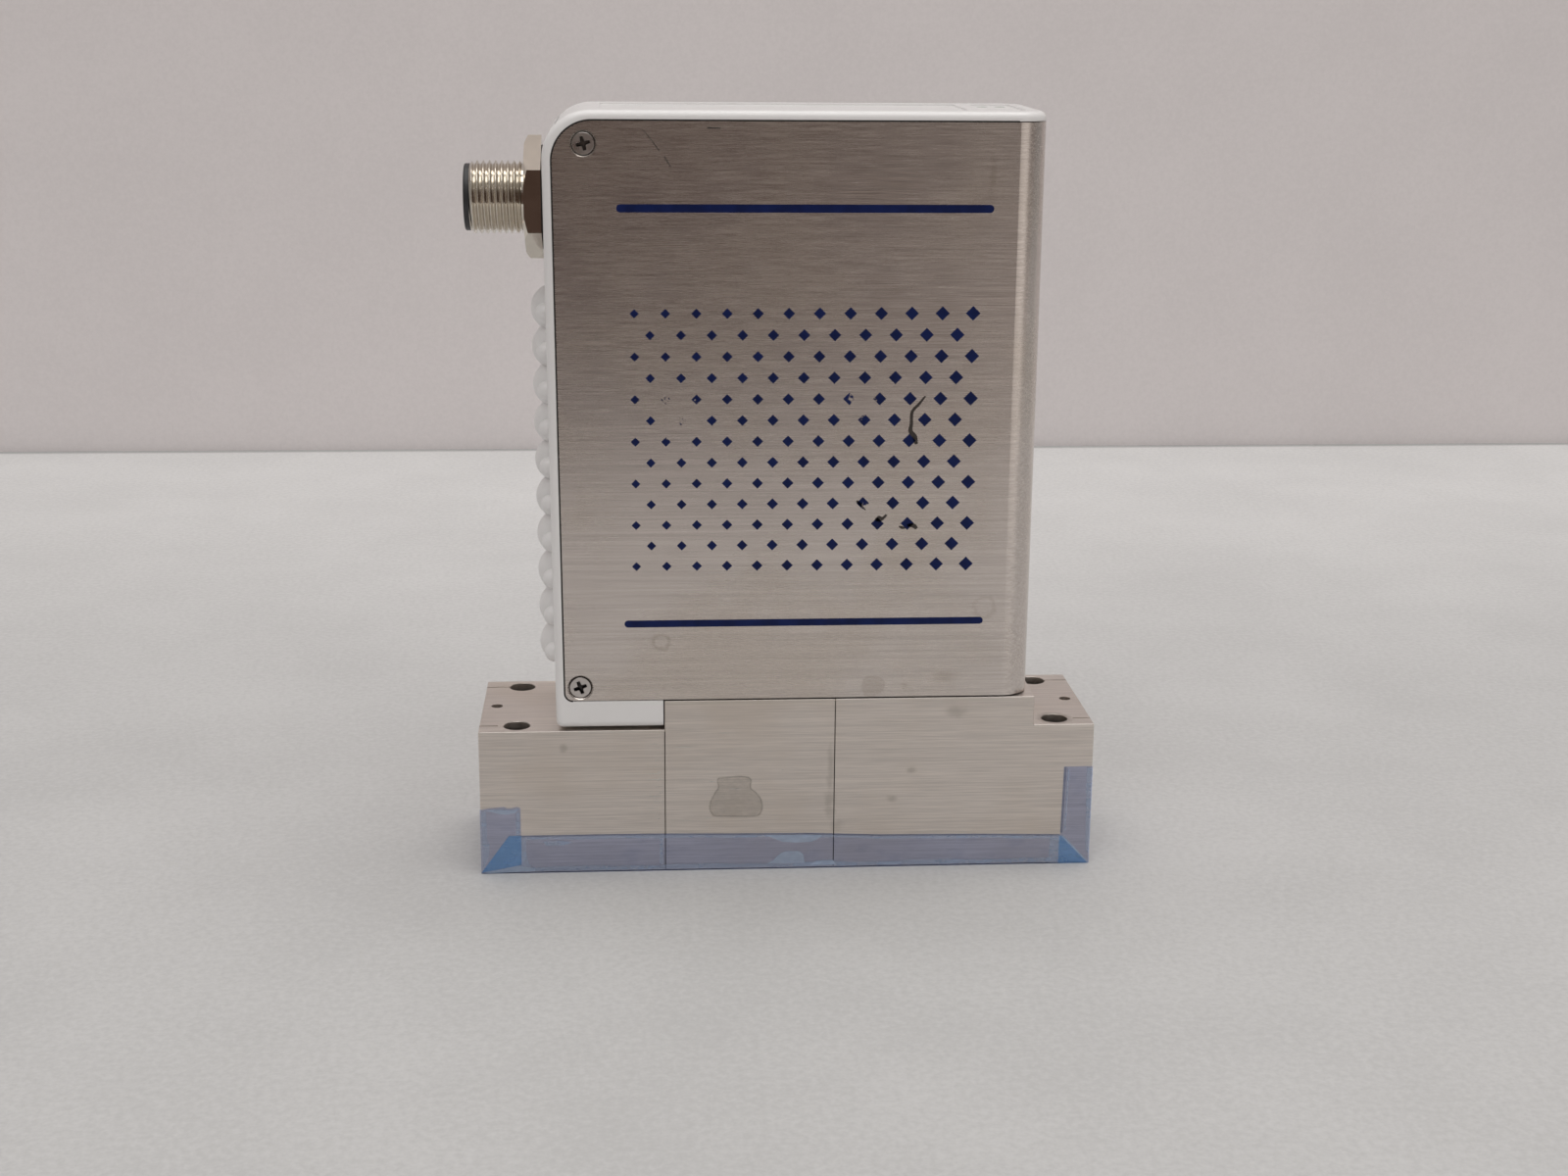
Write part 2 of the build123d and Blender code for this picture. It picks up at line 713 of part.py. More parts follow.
with BuildPart() as coil_yoke:
    yoke_x0 = valve_x - bobbin_d / 2
    yoke_x1 = valve_x + bobbin_d / 2 + 0.4 + yoke_t
    yoke_z0 = bobbin_z0 - yoke_t
    yoke_z1 = bobbin_z0 + bobbin_len + yoke_t
    with BuildSketch(Plane.XZ):
        with BuildLine():
            Polyline((yoke_x0, yoke_z0), (yoke_x1, yoke_z0), (yoke_x1, yoke_z1), (yoke_x0, yoke_z1),
                     (yoke_x0, yoke_z1 - yoke_t), (yoke_x1 - yoke_t, yoke_z1 - yoke_t),
                     (yoke_x1 - yoke_t, yoke_z0 + yoke_t), (yoke_x0, yoke_z0 + yoke_t), close=True)
        make_face()
    extrude(amount=yoke_width / 2, both=True)
    fillet(edges().filter_by(Axis.Y).group_by(Axis.X)[-1], yoke_t)
    drill_z(yoke_z0, yoke_z0 + yoke_t, core_tube_d + 2 * winding_clear, valve_x, 0)
    drill_z(yoke_z1 - yoke_t, yoke_z1, stud_d + 2 * winding_clear, valve_x, 0)
save(coil_yoke, "coil_yoke")

with BuildPart() as coil_nut:
    with BuildSketch(Plane((valve_x, 0, yoke_z1))):
        RegularPolygon(nut_af / 2, 6, major_radius=False)
        Circle(stud_d / 2 + thread_clear, mode=Mode.SUBTRACT)
    extrude(amount=nut_h)
save(coil_nut, "coil_nut")


# ---------------------------------------------------------------- electronics
board_back = board_y0 + board_t


def on_board(x, z):
    """Plane on the component face of the main board; its normal points into the case."""
    return Plane(origin=(x, board_y0, z), x_dir=(1, 0, 0), z_dir=(0, -1, 0))


with BuildPart() as main_board:
    with BuildSketch(on_board((board_x0 + board_x1) / 2, (board_z0 + board_z1) / 2)):
        RectangleRounded(board_x1 - board_x0, board_z1 - board_z0, 1.5)
    extrude(amount=-board_t)
    for z in board_screw_z:
        with BuildSketch(on_board(bracket_x, z)):
            Circle(bracket_screw_d / 2 + bore_clear)
        extrude(amount=-board_t, mode=Mode.SUBTRACT)
save(main_board, "main_board")

with BuildPart() as board_bracket:
    bracket_y1 = board_back + bracket_t
    with BuildSketch(Plane(origin=(bracket_x, 0, 0), x_dir=(0, 1, 0), z_dir=(1, 0, 0))):
        with BuildLine():
            Polyline((-bracket_foot, body_h), (bracket_y1, body_h), (bracket_y1, bracket_top),
                     (board_back, bracket_top), (board_back, body_h + bracket_t),
                     (-bracket_foot, body_h + bracket_t), close=True)
        make_face()
    extrude(amount=bracket_w / 2, both=True)
    fillet(edges().filter_by(Axis.X).group_by(Axis.Y)[-1].sort_by(Axis.Z)[0], bracket_t)
    drill_z(body_h, body_h + bracket_t, bracket_screw_d + 2 * bore_clear, bracket_x, 0)
    for z in board_screw_z:
        with BuildSketch(on_board(bracket_x, z).offset(-board_t)):
            Circle(bracket_screw_d / 2)
        extrude(amount=-bracket_t, mode=Mode.SUBTRACT)
save(board_bracket, "board_bracket")

with BuildPart() as bracket_screw:
    pan_screw(Plane((bracket_x, 0, body_h + bracket_t)), bracket_screw_d, bracket_t + bracket_bite)
save(bracket_screw, "bracket_screw")

with BuildPart() as board_screws:
    for z in board_screw_z:
        pan_screw(on_board(bracket_x, z), bracket_screw_d, board_t + bracket_t)
save(board_screws, "board_screws")

with BuildPart() as processor_chip:
    with BuildSketch(on_board(chip_x, chip_z)):
        Rectangle(chip_side, chip_side)
    extrude(amount=chip_t)
    chamfer(faces().sort_by(Axis.Y)[0].edges(), 0.3)
    row_at = (chip_side + chip_lead) / 2
    row_len = chip_side - 1.5 * chip_lead
    with BuildSketch(on_board(chip_x, chip_z)):
        with Locations((-row_at, 0), (row_at, 0)):
            Rectangle(chip_lead, row_len)
        with Locations((0, -row_at), (0, row_at)):
            Rectangle(row_len, chip_lead)
    extrude(amount=chip_t / 3)
save(processor_chip, "processor_chip")

with BuildPart() as board_chips:
    for x, z, w, h in small_chips:
        with BuildSketch(on_board(x, z)):
            Rectangle(w, h)
        extrude(amount=small_chip_t)
save(board_chips, "board_chips")

with BuildPart() as board_capacitors:
    for x, z in capacitor_places:
        with BuildSketch(on_board(x, z)):
            Rectangle(capacitor_foot, capacitor_foot)
        extrude(amount=capacitor_foot_t)
        with BuildSketch(on_board(x, z).offset(capacitor_foot_t)):
            Circle(capacitor_d / 2)
        extrude(amount=capacitor_h)
save(board_capacitors, "board_capacitors")

with BuildPart() as power_converter:
    with BuildSketch(on_board(converter_x, converter_z)):
        RectangleRounded(converter_w, converter_h, 0.8)
    extrude(amount=converter_t)
save(power_converter, "power_converter")

with BuildPart() as board_headers:
    for x, z in ((valve_x, valve_header_z), (bypass_x, sensor_header_z)):
        with BuildSketch(on_board(x, z)):
            Rectangle(header_w, header_h)
        extrude(amount=header_t)
save(board_headers, "board_headers")

with BuildPart() as sensor_flex:
    can_top = sensor_top + can_h
    flex_z = sensor_header_z - 1.0
    header_y = board_y0 - header_t
    with BuildSketch(across(bypass_x, 0, 0)):
        with BuildLine():
            Polyline((-flex_reach, can_top), (flex_reach, can_top), (flex_reach, flex_z), (header_y, flex_z),
                     (header_y, flex_z + flex_t), (flex_reach - flex_t, flex_z + flex_t),
                     (flex_reach - flex_t, can_top + flex_t), (-flex_reach, can_top + flex_t), close=True)
        make_face()
    extrude(amount=flex_w / 2, both=True)
save(sensor_flex, "sensor_flex")

with BuildPart() as valve_leads:
    lead_y = bobbin_d / 2 - lead_d / 2 - 0.05
    lead_top = valve_header_z - header_h / 2
    for i in (-1, 1):
        with BuildLine():
            Spline((valve_x + i * lead_pitch_top, lead_y, lead_top),
                   (valve_x + i * lead_pitch_low, lead_y, core_tube_top),
                   tangents=((0, 0, -1), (0, 0, -1)))
        with BuildSketch(Plane(origin=(valve_x + i * lead_pitch_top, lead_y, lead_top), z_dir=(0, 0, -1))):
            Circle(lead_d / 2)
        sweep()
save(valve_leads, "valve_leads")

with BuildPart() as connector_board:
    with BuildSketch(x_plane(connector_board_x, 0, m12_z, 1)):
        Rectangle(connector_board_w, connector_board_h)
    extrude(amount=board_t)
save(connector_board, "connector_board")

with BuildPart() as board_link:
    with BuildSketch(on_board(connector_board_x + board_t + link_w / 2, m12_z)):
        Rectangle(link_w, link_h)
    extrude(amount=link_t)
save(board_link, "board_link")


# ---------------------------------------------------------------- housing
def cover_outline(gap):
    """Front outline of the steel cover in the XZ plane, grown by gap."""
    z0 = cover_z0 - gap
    z1 = cover_z1 + gap
    x_low = wall_x(z0) + cover_strip - gap
    x_high = wall_x(z1) + cover_strip - gap
    with BuildSketch(Plane.XZ) as outline:
        with BuildLine():
            Polyline((x_low, z0), (cover_x1 + gap, z0), (cover_x1 + gap, z1), (x_high, z1), close=True)
        make_face()
        fillet(outline.vertices().sort_by(Axis.X)[0], cover_corner_r + gap)
        fillet(outline.vertices().group_by(Axis.Y)[0].sort_by(Axis.X)[0], cover_low_corner_r + gap)
    return outline.sketch


def screw_planes():
    """Outside faces of the cover at its four screws, normals outwards, with each recess's turn."""
    places = []
    for x, z, turn in zip(screw_x, screw_z, screw_turn):
        for side in (-1, 1):
            place = Plane(origin=(x, side * half_width, z), x_dir=(1, 0, 0), z_dir=(0, side, 0))
            places.append((place, turn))
    return places


with BuildPart() as housing:
    # solid form: leaning left wall, top and foot in one outline
    with BuildSketch(Plane.XZ) as outer:
        with BuildLine():
            Polyline((wall_x(housing_z0), housing_z0), (foot_x1, housing_z0), (foot_x1, cover_z0),
                     (cover_x1, cover_z0), (cover_x1, top_z), (wall_x(top_z), top_z), close=True)
        make_face()
        fillet(outer.vertices().sort_by(Axis.X)[0], corner_r)
        fillet(outer.vertices().group_by(Axis.Y)[0].sort_by(Axis.X)[0], foot_corner_r)
    extrude(amount=half_width, both=True)
    right_corners = edges().filter_by(Axis.Z).group_by(Axis.X)[-1]
    fillet(right_corners, cover_bend_r)
    rim = edges().filter_by(lambda e: abs(abs(e.center().Y) - half_width) < 0.01
                            and (e.center().Z > top_z - corner_r or e.center().X < wall_x(housing_z0) + 1)
                            and e.center().Z > housing_z0 + 0.1 and e.center().X < cover_x1 - cover_bend_r)
    fillet(rim, edge_r)
    # raised dots on the left wall: a column of large ones that merge, between two columns of small ones
    for row in range(dot_rows):
        z = dot_top_z - row * dot_row_pitch
        with Locations((wall_x(z) + dot_sink, 0, z)):
            Sphere(dot_r)
        with Locations(*[(wall_x(z) - small_dot_rise, y, z) for y in (-small_dot_y, small_dot_y)]):
            Sphere(small_dot_r, rotation=(0, 90, 0))
    # room for the steel sheet on both faces and round the right end
    for side in (-1, 1):
        band = extrude(cover_outline(cover_gap), amount=-side * (half_width + 1), mode=Mode.PRIVATE)
        core = extrude(cover_outline(cover_gap), amount=-side * lip_y, mode=Mode.PRIVATE)
        add(band - core, mode=Mode.SUBTRACT)
    # inside
    cavity_x0 = wall_x0 + wall_t
    cavity_z0 = housing_z0 + foot_t
    cavity_z1 = top_z - wall_t
    with BuildSketch(Plane.XZ):
        with BuildLine():
            Polyline((cavity_x0, cavity_z0), (cover_x1 + 1, cavity_z0), (cover_x1 + 1, cavity_z1),
                     (wall_x(cavity_z1) + wall_t, cavity_z1), close=True)
        make_face()
    extrude(amount=lip_y - lip_t, both=True, mode=Mode.SUBTRACT)
    # window inside the lips, and the lips' end before the sheet's bend
    with BuildSketch(Plane.XZ):
        with BuildLine():
            window_x0 = foot_x1 - lip_w
            Polyline((window_x0, cover_z0 + lip_w), (window_x0, cover_z1 - lip_w),
                     (cover_x1 + 1, cover_z1 - lip_w), (cover_x1 + 1, cover_z0 - 1),
                     (foot_x1, cover_z0 - 1), (foot_x1, cover_z0 + lip_w), close=True)
        make_face()
    extrude(amount=half_width, both=True, mode=Mode.SUBTRACT)
    with BuildSketch(Plane.XZ):
        with Locations(((lip_end_x + cover_x1 + 1) / 2, (cover_z1 + cover_gap + cover_z0) / 2)):
            Rectangle(cover_x1 + 1 - lip_end_x, cover_z1 + cover_gap - cover_z0)
    extrude(amount=half_width, both=True, mode=Mode.SUBTRACT)
    # screw bosses
    for place, turn in screw_planes():
        with BuildSketch(place.offset(lip_y - half_width)):
            Circle(boss_d / 2)
        extrude(amount=-boss_len)
    for place, turn in screw_planes():
        with BuildSketch(place.offset(lip_y - half_width)):
            Circle(cover_screw_d / 2)
        extrude(amount=-boss_len, mode=Mode.SUBTRACT)
    # rail that keeps the main board against the rear lip
    with BuildSketch(Plane((0, board_y0 - winding_clear - rail_t / 2, cavity_z1))):
        with Locations(((board_x0 + lip_end_x) / 2, 0)):
            Rectangle(lip_end_x - board_x0, rail_t)
    extrude(amount=-rail_h)
    # connector hole
    drill_x(wall_x0 - 3, cavity_x0 + 2, stub_d + 2 * bore_clear, 0, m12_z)
    # label and status light panels in the top
    for x0, x1 in ((label_x0, label_x1), (light_panel_x0, light_panel_x1)):
        with BuildSketch(Plane(((x0 + x1) / 2, 0, top_z))):
            RectangleRounded(x1 - x0, 2 * label_y, 1.0)
        extrude(amount=-label_depth, mode=Mode.SUBTRACT)
    for x in light_x:
        drill_z(cavity_z1, top_z, light_d + 2 * tube_clear, x, light_y)
    # foot screw holes, with rest pads beside them
    for y in (-foot_screw_y, foot_screw_y):
        drill_z(housing_z0, cavity_z0, tie_d + 2 * bore_clear, foot_screw_x, y)
        with BuildSketch(Plane((foot_screw_x + pad_offset, y, shoulder_h))):
            Circle(pad_d / 2)
        extrude(amount=housing_z0 - shoulder_h)
save(housing, "housing")

with BuildPart() as foot_screws:
    for y in (-foot_screw_y, foot_screw_y):
        pan_screw(Plane((foot_screw_x, y, cavity_z0)), tie_d,
                  cavity_z0 - shoulder_h + foot_screw_bite)
save(foot_screws, "foot_screws")


# ---------------------------------------------------------------- steel cover
with BuildPart() as steel_cover:
    plan_x0 = wall_x(cover_z1) + cover_strip
    with BuildSketch(Plane((0, 0, cover_z0))):
        with BuildLine():
            FilletPolyline((plan_x0, -half_width), (cover_x1, -half_width), (cover_x1, half_width),
                           (plan_x0, half_width), radius=cover_bend_r)
            offset(amount=cover_t, side=Side.LEFT)
        make_face()
    extrude(amount=cover_z1 - cover_z0)
    extrude(cover_outline(0), amount=half_width, both=True, mode=Mode.INTERSECT)
    for place, turn in screw_planes():
        with Locations(place):
            CounterSinkHole(cover_screw_d / 2 + bore_clear, cover_screw_head_d / 2 + thread_clear,
                            depth=2 * cover_t, counter_sink_angle=90)
save(steel_cover, "steel_cover")

with BuildPart() as cover_screws:
    for place, turn in screw_planes():
        head_h = (cover_screw_head_d - cover_screw_d) / 2
        with BuildSketch(place):
            Circle(cover_screw_head_d / 2)
        with BuildSketch(place.offset(-head_h)):
            Circle(cover_screw_d / 2)
        loft()
        with BuildSketch(place.offset(-head_h)):
            Circle(cover_screw_d / 2 - thread_clear)
        extrude(amount=-cover_screw_len)
        with BuildSketch(place):
            for angle in (turn, turn + 90):
                with Locations(Location((0, 0), angle)):
                    Rectangle(cross_len, cross_w)
        extrude(amount=-cross_depth, mode=Mode.SUBTRACT)
save(cover_screws, "cover_screws")

with BuildPart() as status_lights:
    for x in light_x:
        with BuildSketch(Plane((x, light_y, cavity_z1 - light_tail))):
            Circle(light_d / 2)
        extrude(amount=top_z - label_depth - cavity_z1 + light_tail)
save(status_lights, "status_lights")


# ---------------------------------------------------------------- round connector
hex_x1 = hex_x0 + hex_t
insert_tip = m12_tip_x - insert_proud
insert_end = insert_tip + insert_len
connector_axis = Axis((0, 0, m12_z), (1, 0, 0))

with BuildPart() as m12_shell:
    with BuildSketch(across(m12_tip_x, 0, m12_z)):
        Circle(m12_thread_d / 2)
    extrude(amount=m12_thread_x1 - m12_tip_x)
    chamfer(faces().sort_by(Axis.X)[0].edges(), m12_chamfer)
    with BuildSketch(across(m12_thread_x1, 0, m12_z)):
        Circle(m12_relief_d / 2)
    extrude(amount=hex_x0 - m12_thread_x1)
    with BuildSketch(across(hex_x0, 0, m12_z)):
        RegularPolygon(hex_af / 2, 6, major_radius=False, rotation=30)
    extrude(amount=hex_t)
    with BuildSketch(across(hex_x1, 0, m12_z)):
        Circle(stub_d / 2)
    extrude(amount=stub_end_x - hex_x1)
    # the hexagon's outer corners are turned back
    with BuildSketch(Plane.XZ):
        with BuildLine():
            chamfer_r = hex_af / 2 + hex_land
            corner_reach = hex_af / math.sqrt(3) + hex_land
            Polyline((m12_tip_x - 1, m12_z), (m12_tip_x - 1, m12_z + chamfer_r), (hex_x0, m12_z + chamfer_r),
                     (hex_x0 + hex_chamfer, m12_z + corner_reach), (stub_end_x + 1, m12_z + corner_reach),
                     (stub_end_x + 1, m12_z), close=True)
        make_face()
    revolve(axis=connector_axis, mode=Mode.INTERSECT)
    drill_x(m12_tip_x, stub_end_x, insert_body_d, 0, m12_z)
save(m12_shell, "m12_shell")

with BuildPart() as m12_insert:
    with BuildSketch(across(insert_tip, 0, m12_z)):
        Circle(insert_d / 2)
    extrude(amount=insert_proud)
    fillet(faces().sort_by(Axis.X)[0].edges(), 0.3)
    with BuildSketch(across(m12_tip_x, 0, m12_z)):
        Circle(insert_body_d / 2 - lfe_clear)
    extrude(amount=insert_len - insert_proud)
    with BuildSketch(across(insert_tip, 0, m12_z)):
        Circle(insert_cup_d / 2)
        with Locations((0, insert_cup_d / 2)):
            Rectangle(key_w, 2 * key_h, mode=Mode.SUBTRACT)
    extrude(amount=insert_cup_depth, mode=Mode.SUBTRACT)
    pin_at = pin_circle_d / 2 / math.sqrt(2)
    pin_places = [(0, 0), (pin_at, pin_at), (-pin_at, pin_at), (-pin_at, -pin_at), (pin_at, -pin_at)]
    for y, z in pin_places:
        drill_x(insert_tip, insert_end, pin_d, y, m12_z + z)
save(m12_insert, "m12_insert")

with BuildPart() as m12_pins:
    for y, z in pin_places:
        with BuildSketch(across(insert_tip + pin_set_back, y, m12_z + z)):
            Circle(pin_d / 2)
        extrude(amount=connector_board_x - insert_tip - pin_set_back)
    chamfer(edges().group_by(Axis.X)[0], pin_d / 4)
save(m12_pins, "m12_pins")

with BuildPart() as m12_seal:
    with BuildSketch(across(hex_x1, 0, m12_z)):
        Circle(stub_d / 2 + m12_seal_w + thread_clear)
        Circle(stub_d / 2 + thread_clear, mode=Mode.SUBTRACT)
    extrude(amount=wall_x(m12_z + stub_d / 2 + m12_seal_w) - hex_x1 - thread_clear)
save(m12_seal, "m12_seal")

with BuildPart() as m12_locknut:
    nut_x0 = wall_x(m12_z - locknut_af / 2) + wall_t + thread_clear
    with BuildSketch(across(nut_x0, 0, m12_z)):
        RegularPolygon(locknut_af / 2, 6, major_radius=False)
        Circle(stub_d / 2 + thread_clear, mode=Mode.SUBTRACT)
    extrude(amount=locknut_t)
save(m12_locknut, "m12_locknut")


# ---------------------------------------------------------------- protective film
with BuildPart() as protective_film:
    out_x = half_len + film_t
    out_y = half_width + film_t
    with BuildSketch(Plane((0, 0, -film_t))):
        Rectangle(2 * out_x, 2 * out_y)
    extrude(amount=film_right_h + film_t)
    with BuildSketch(Plane((0, 0, 0))):
        Rectangle(base_len, base_width)
    extrude(amount=film_right_h, mode=Mode.SUBTRACT)
    # front and rear edges stand lower than the ends, whose folds reach round the corners
    with BuildSketch(Plane.XZ):
        with BuildLine():
            Polyline((-out_x - 1, film_left_h), (-half_len + film_left_ear, film_left_h),
                     (-half_len + film_left_ear, film_front_h), (half_len - film_right_ear, film_front_h),
                     (half_len - film_right_ear, film_right_h), (half_len - film_right_ear, film_right_h + 1),
                     (-out_x - 1, film_right_h + 1), close=True)
        make_face()
    extrude(amount=out_y + 1, both=True, mode=Mode.SUBTRACT)
save(protective_film, "protective_film")
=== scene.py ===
import json
import math
import random
import bmesh
import bpy
from mathutils import Matrix, Vector

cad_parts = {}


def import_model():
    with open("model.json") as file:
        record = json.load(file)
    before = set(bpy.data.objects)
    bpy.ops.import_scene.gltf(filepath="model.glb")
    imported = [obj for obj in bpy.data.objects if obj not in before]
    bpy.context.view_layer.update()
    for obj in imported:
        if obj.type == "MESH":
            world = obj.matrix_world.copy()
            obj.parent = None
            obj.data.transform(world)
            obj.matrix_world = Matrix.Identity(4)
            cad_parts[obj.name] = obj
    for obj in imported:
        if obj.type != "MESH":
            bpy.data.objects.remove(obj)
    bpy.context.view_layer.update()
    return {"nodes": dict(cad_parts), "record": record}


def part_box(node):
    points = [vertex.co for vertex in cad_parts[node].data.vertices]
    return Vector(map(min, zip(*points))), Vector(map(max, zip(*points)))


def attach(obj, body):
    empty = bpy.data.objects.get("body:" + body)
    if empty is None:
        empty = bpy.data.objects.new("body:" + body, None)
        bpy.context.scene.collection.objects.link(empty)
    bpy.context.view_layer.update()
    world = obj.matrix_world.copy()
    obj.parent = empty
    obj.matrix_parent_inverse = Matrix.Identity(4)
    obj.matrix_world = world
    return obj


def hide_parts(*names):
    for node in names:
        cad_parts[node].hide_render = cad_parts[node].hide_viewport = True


# Thermal mass flow controller on a pale bench. Metres in Blender, millimetres in the named values.
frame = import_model()
random.seed(7)
MM = 0.001
BODY = "controller"

# ---------------------------------------------------------------- camera (fitted to the base's corners)
# Pixels are the photograph's, angles are radians, the eye is in millimetres.
IMAGE_W = 1600
FOCAL_PX = 2262.0
SENSOR = 36.0
YAW, PITCH, ROLL = 0.0704, 0.2624, 0.0083
EYE = (-26.215, -370.961, 146.111)


# ---------------------------------------------------------------- sizes read from the part
def box_mm(node):
    """A node's lowest and highest corners in millimetres."""
    return [[round(value / MM, 3) for value in corner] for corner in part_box(node)]


BLOCK_LOW, BLOCK_HIGH = box_mm("inlet_block")
HALF_LEN, HALF_WIDTH, SHOULDER_Z = -BLOCK_LOW[0], -BLOCK_LOW[1], BLOCK_HIGH[2]
FRONT = -HALF_WIDTH
FLOOR_Z = box_mm("protective_film")[0][2]
MOUNTS = {mount["name"]: mount for mount in frame["record"]["mounts"]}
BOLTS = MOUNTS["base_bolts"]["dims"]
BOLT_X, BOLT_Y, BOLT_R = BOLTS["spacing_x_mm"] / 2, BOLTS["spacing_y_mm"] / 2, BOLTS["hole_r_mm"]
M12_Z = round(MOUNTS["m12_thread"]["pos_m"][2] / MM, 3)
THREAD_R = MOUNTS["m12_thread"]["dims"]["r_mm"]
THREAD_X0 = box_mm("m12_shell")[0][0]


# ---------------------------------------------------------------- node helpers
class Nodes:
    """Short words for building any node tree."""

    def __init__(self, nt):
        self.nt = nt
        nt.nodes.clear()

    def put(self, value, socket):
        """Link a socket or write a plain value."""
        if isinstance(value, bpy.types.NodeSocket):
            self.nt.links.new(value, socket)
        elif isinstance(value, (tuple, list)) and len(value) == 3 and socket.type == "RGBA":
            socket.default_value = (*value, 1.0)
        else:
            socket.default_value = value

    def math(self, op, a, b=0.0, c=0.0, clamp=False):
        node = self.nt.nodes.new("ShaderNodeMath")
        node.operation = op
        node.use_clamp = clamp
        for value, socket in zip((a, b, c), node.inputs):
            self.put(value, socket)
        return node.outputs[0]

    def ramp(self, value, lo, hi, out_lo=0.0, out_hi=1.0):
        """Smooth step of value from lo to hi."""
        node = self.nt.nodes.new("ShaderNodeMapRange")
        node.interpolation_type = "SMOOTHSTEP"
        for v, socket in zip((value, lo, hi, out_lo, out_hi), node.inputs):
            self.put(v, socket)
        return node.outputs[0]

    def mix(self, fac, a, b):
        node = self.nt.nodes.new("ShaderNodeMix")
        node.data_type = "RGBA"
        self.put(fac, node.inputs[0])
        self.put(a, node.inputs[6])
        self.put(b, node.inputs[7])
        return node.outputs[2]


class Tree(Nodes):
    """A material with a Principled shader and millimetre coordinates."""

    def __init__(self, name):
        self.material = bpy.data.materials.new(name)
        self.material.use_nodes = True
        super().__init__(self.material.node_tree)
        self.out = self.nt.nodes.new("ShaderNodeOutputMaterial")
        self.bsdf = self.nt.nodes.new("ShaderNodeBsdfPrincipled")
        self.nt.links.new(self.bsdf.outputs[0], self.out.inputs[0])
        coord = self.nt.nodes.new("ShaderNodeTexCoord")
        scale = self.nt.nodes.new("ShaderNodeVectorMath")
        scale.operation = "SCALE"
        scale.inputs["Scale"].default_value = 1000.0
        self.nt.links.new(coord.outputs["Object"], scale.inputs[0])
        self.mm = scale.outputs[0]
        split = self.nt.nodes.new("ShaderNodeSeparateXYZ")
        self.nt.links.new(self.mm, split.inputs[0])
        self.x, self.y, self.z = split.outputs

    def stretch(self, sx, sy, sz, shift=(0.0, 0.0, 0.0)):
        """Millimetre coordinates times a vector, plus a shift."""
        node = self.nt.nodes.new("ShaderNodeVectorMath")
        node.operation = "MULTIPLY_ADD"
        self.put(self.mm, node.inputs[0])
        node.inputs[1].default_value = (sx, sy, sz)
        node.inputs[2].default_value = shift
        return node.outputs[0]

    def noise(self, vector, scale=1.0, detail=3.0, rough=0.5, distortion=0.0):
        node = self.nt.nodes.new("ShaderNodeTexNoise")
        self.put(vector, node.inputs["Vector"])
        node.inputs["Scale"].default_value = scale
        node.inputs["Detail"].default_value = detail
        node.inputs["Roughness"].default_value = rough
        node.inputs["Distortion"].default_value = distortion
        return node.outputs[0]

    def reach(self, dx, dz):
        """Length of a flat vector."""
        square = self.math("ADD", self.math("MULTIPLY", dx, dx), self.math("MULTIPLY", dz, dz))
        return self.math("SQRT", square)

    def product(self, *factors):
        """All factors multiplied."""
        total = factors[0]
        for factor in factors[1:]:
            total = self.math("MULTIPLY", total, factor)
        return total

    def most(self, *masks):
        """The largest of several masks."""
        total = masks[0]
        for mask in masks[1:]:
            total = self.math("MAXIMUM", total, mask)
        return total

    def spot(self, x, z, rx, rz, soft=0.4, wobble=None, amount=0.0):
        """1 inside an ellipse on the front face, falling to 0 over the soft share of its radius."""
        dx = self.math("DIVIDE", self.math("SUBTRACT", self.x, x), rx)
        dz = self.math("DIVIDE", self.math("SUBTRACT", self.z, z), rz)
        d = self.reach(dx, dz)
        if wobble is not None:
            d = self.math("MULTIPLY_ADD", wobble, amount, d)
        return self.ramp(d, 1.0, 1.0 - soft)

    def ring(self, x, z, r, width, wobble=None, amount=0.0):
        """1 on a thin ring on the front face."""
        dx = self.math("SUBTRACT", self.x, x)
        dz = self.math("SUBTRACT", self.z, z)
        d = self.reach(dx, dz)
        if wobble is not None:
            d = self.math("MULTIPLY_ADD", wobble, amount, d)
        off = self.math("ABSOLUTE", self.math("SUBTRACT", d, r))
        return self.ramp(off, width, 0.0)

    def blots(self, rows, wobble):
        """The largest of several spots; a row is x, z, both radii, softness, unevenness, strength."""
        return self.most(*[self.product(self.spot(*row[:5], wobble, row[5]), row[6]) for row in rows])

    def front(self):
        """1 on the front faces only."""
        return self.ramp(self.y, FRONT + 0.4, FRONT + 0.2)

    def bump(self, height, distance, strength=1.0):
        """Small relief; distance is in millimetres."""
        node = self.nt.nodes.new("ShaderNodeBump")
        node.inputs["Distance"].default_value = distance * MM
        node.inputs["Strength"].default_value = strength
        self.put(height, node.inputs["Height"])
        self.nt.links.new(node.outputs[0], self.bsdf.inputs["Normal"])

    def set(self, **values):
        for name, value in values.items():
            self.put(value, self.bsdf.inputs[name.replace("_", " ")])
        return self.material


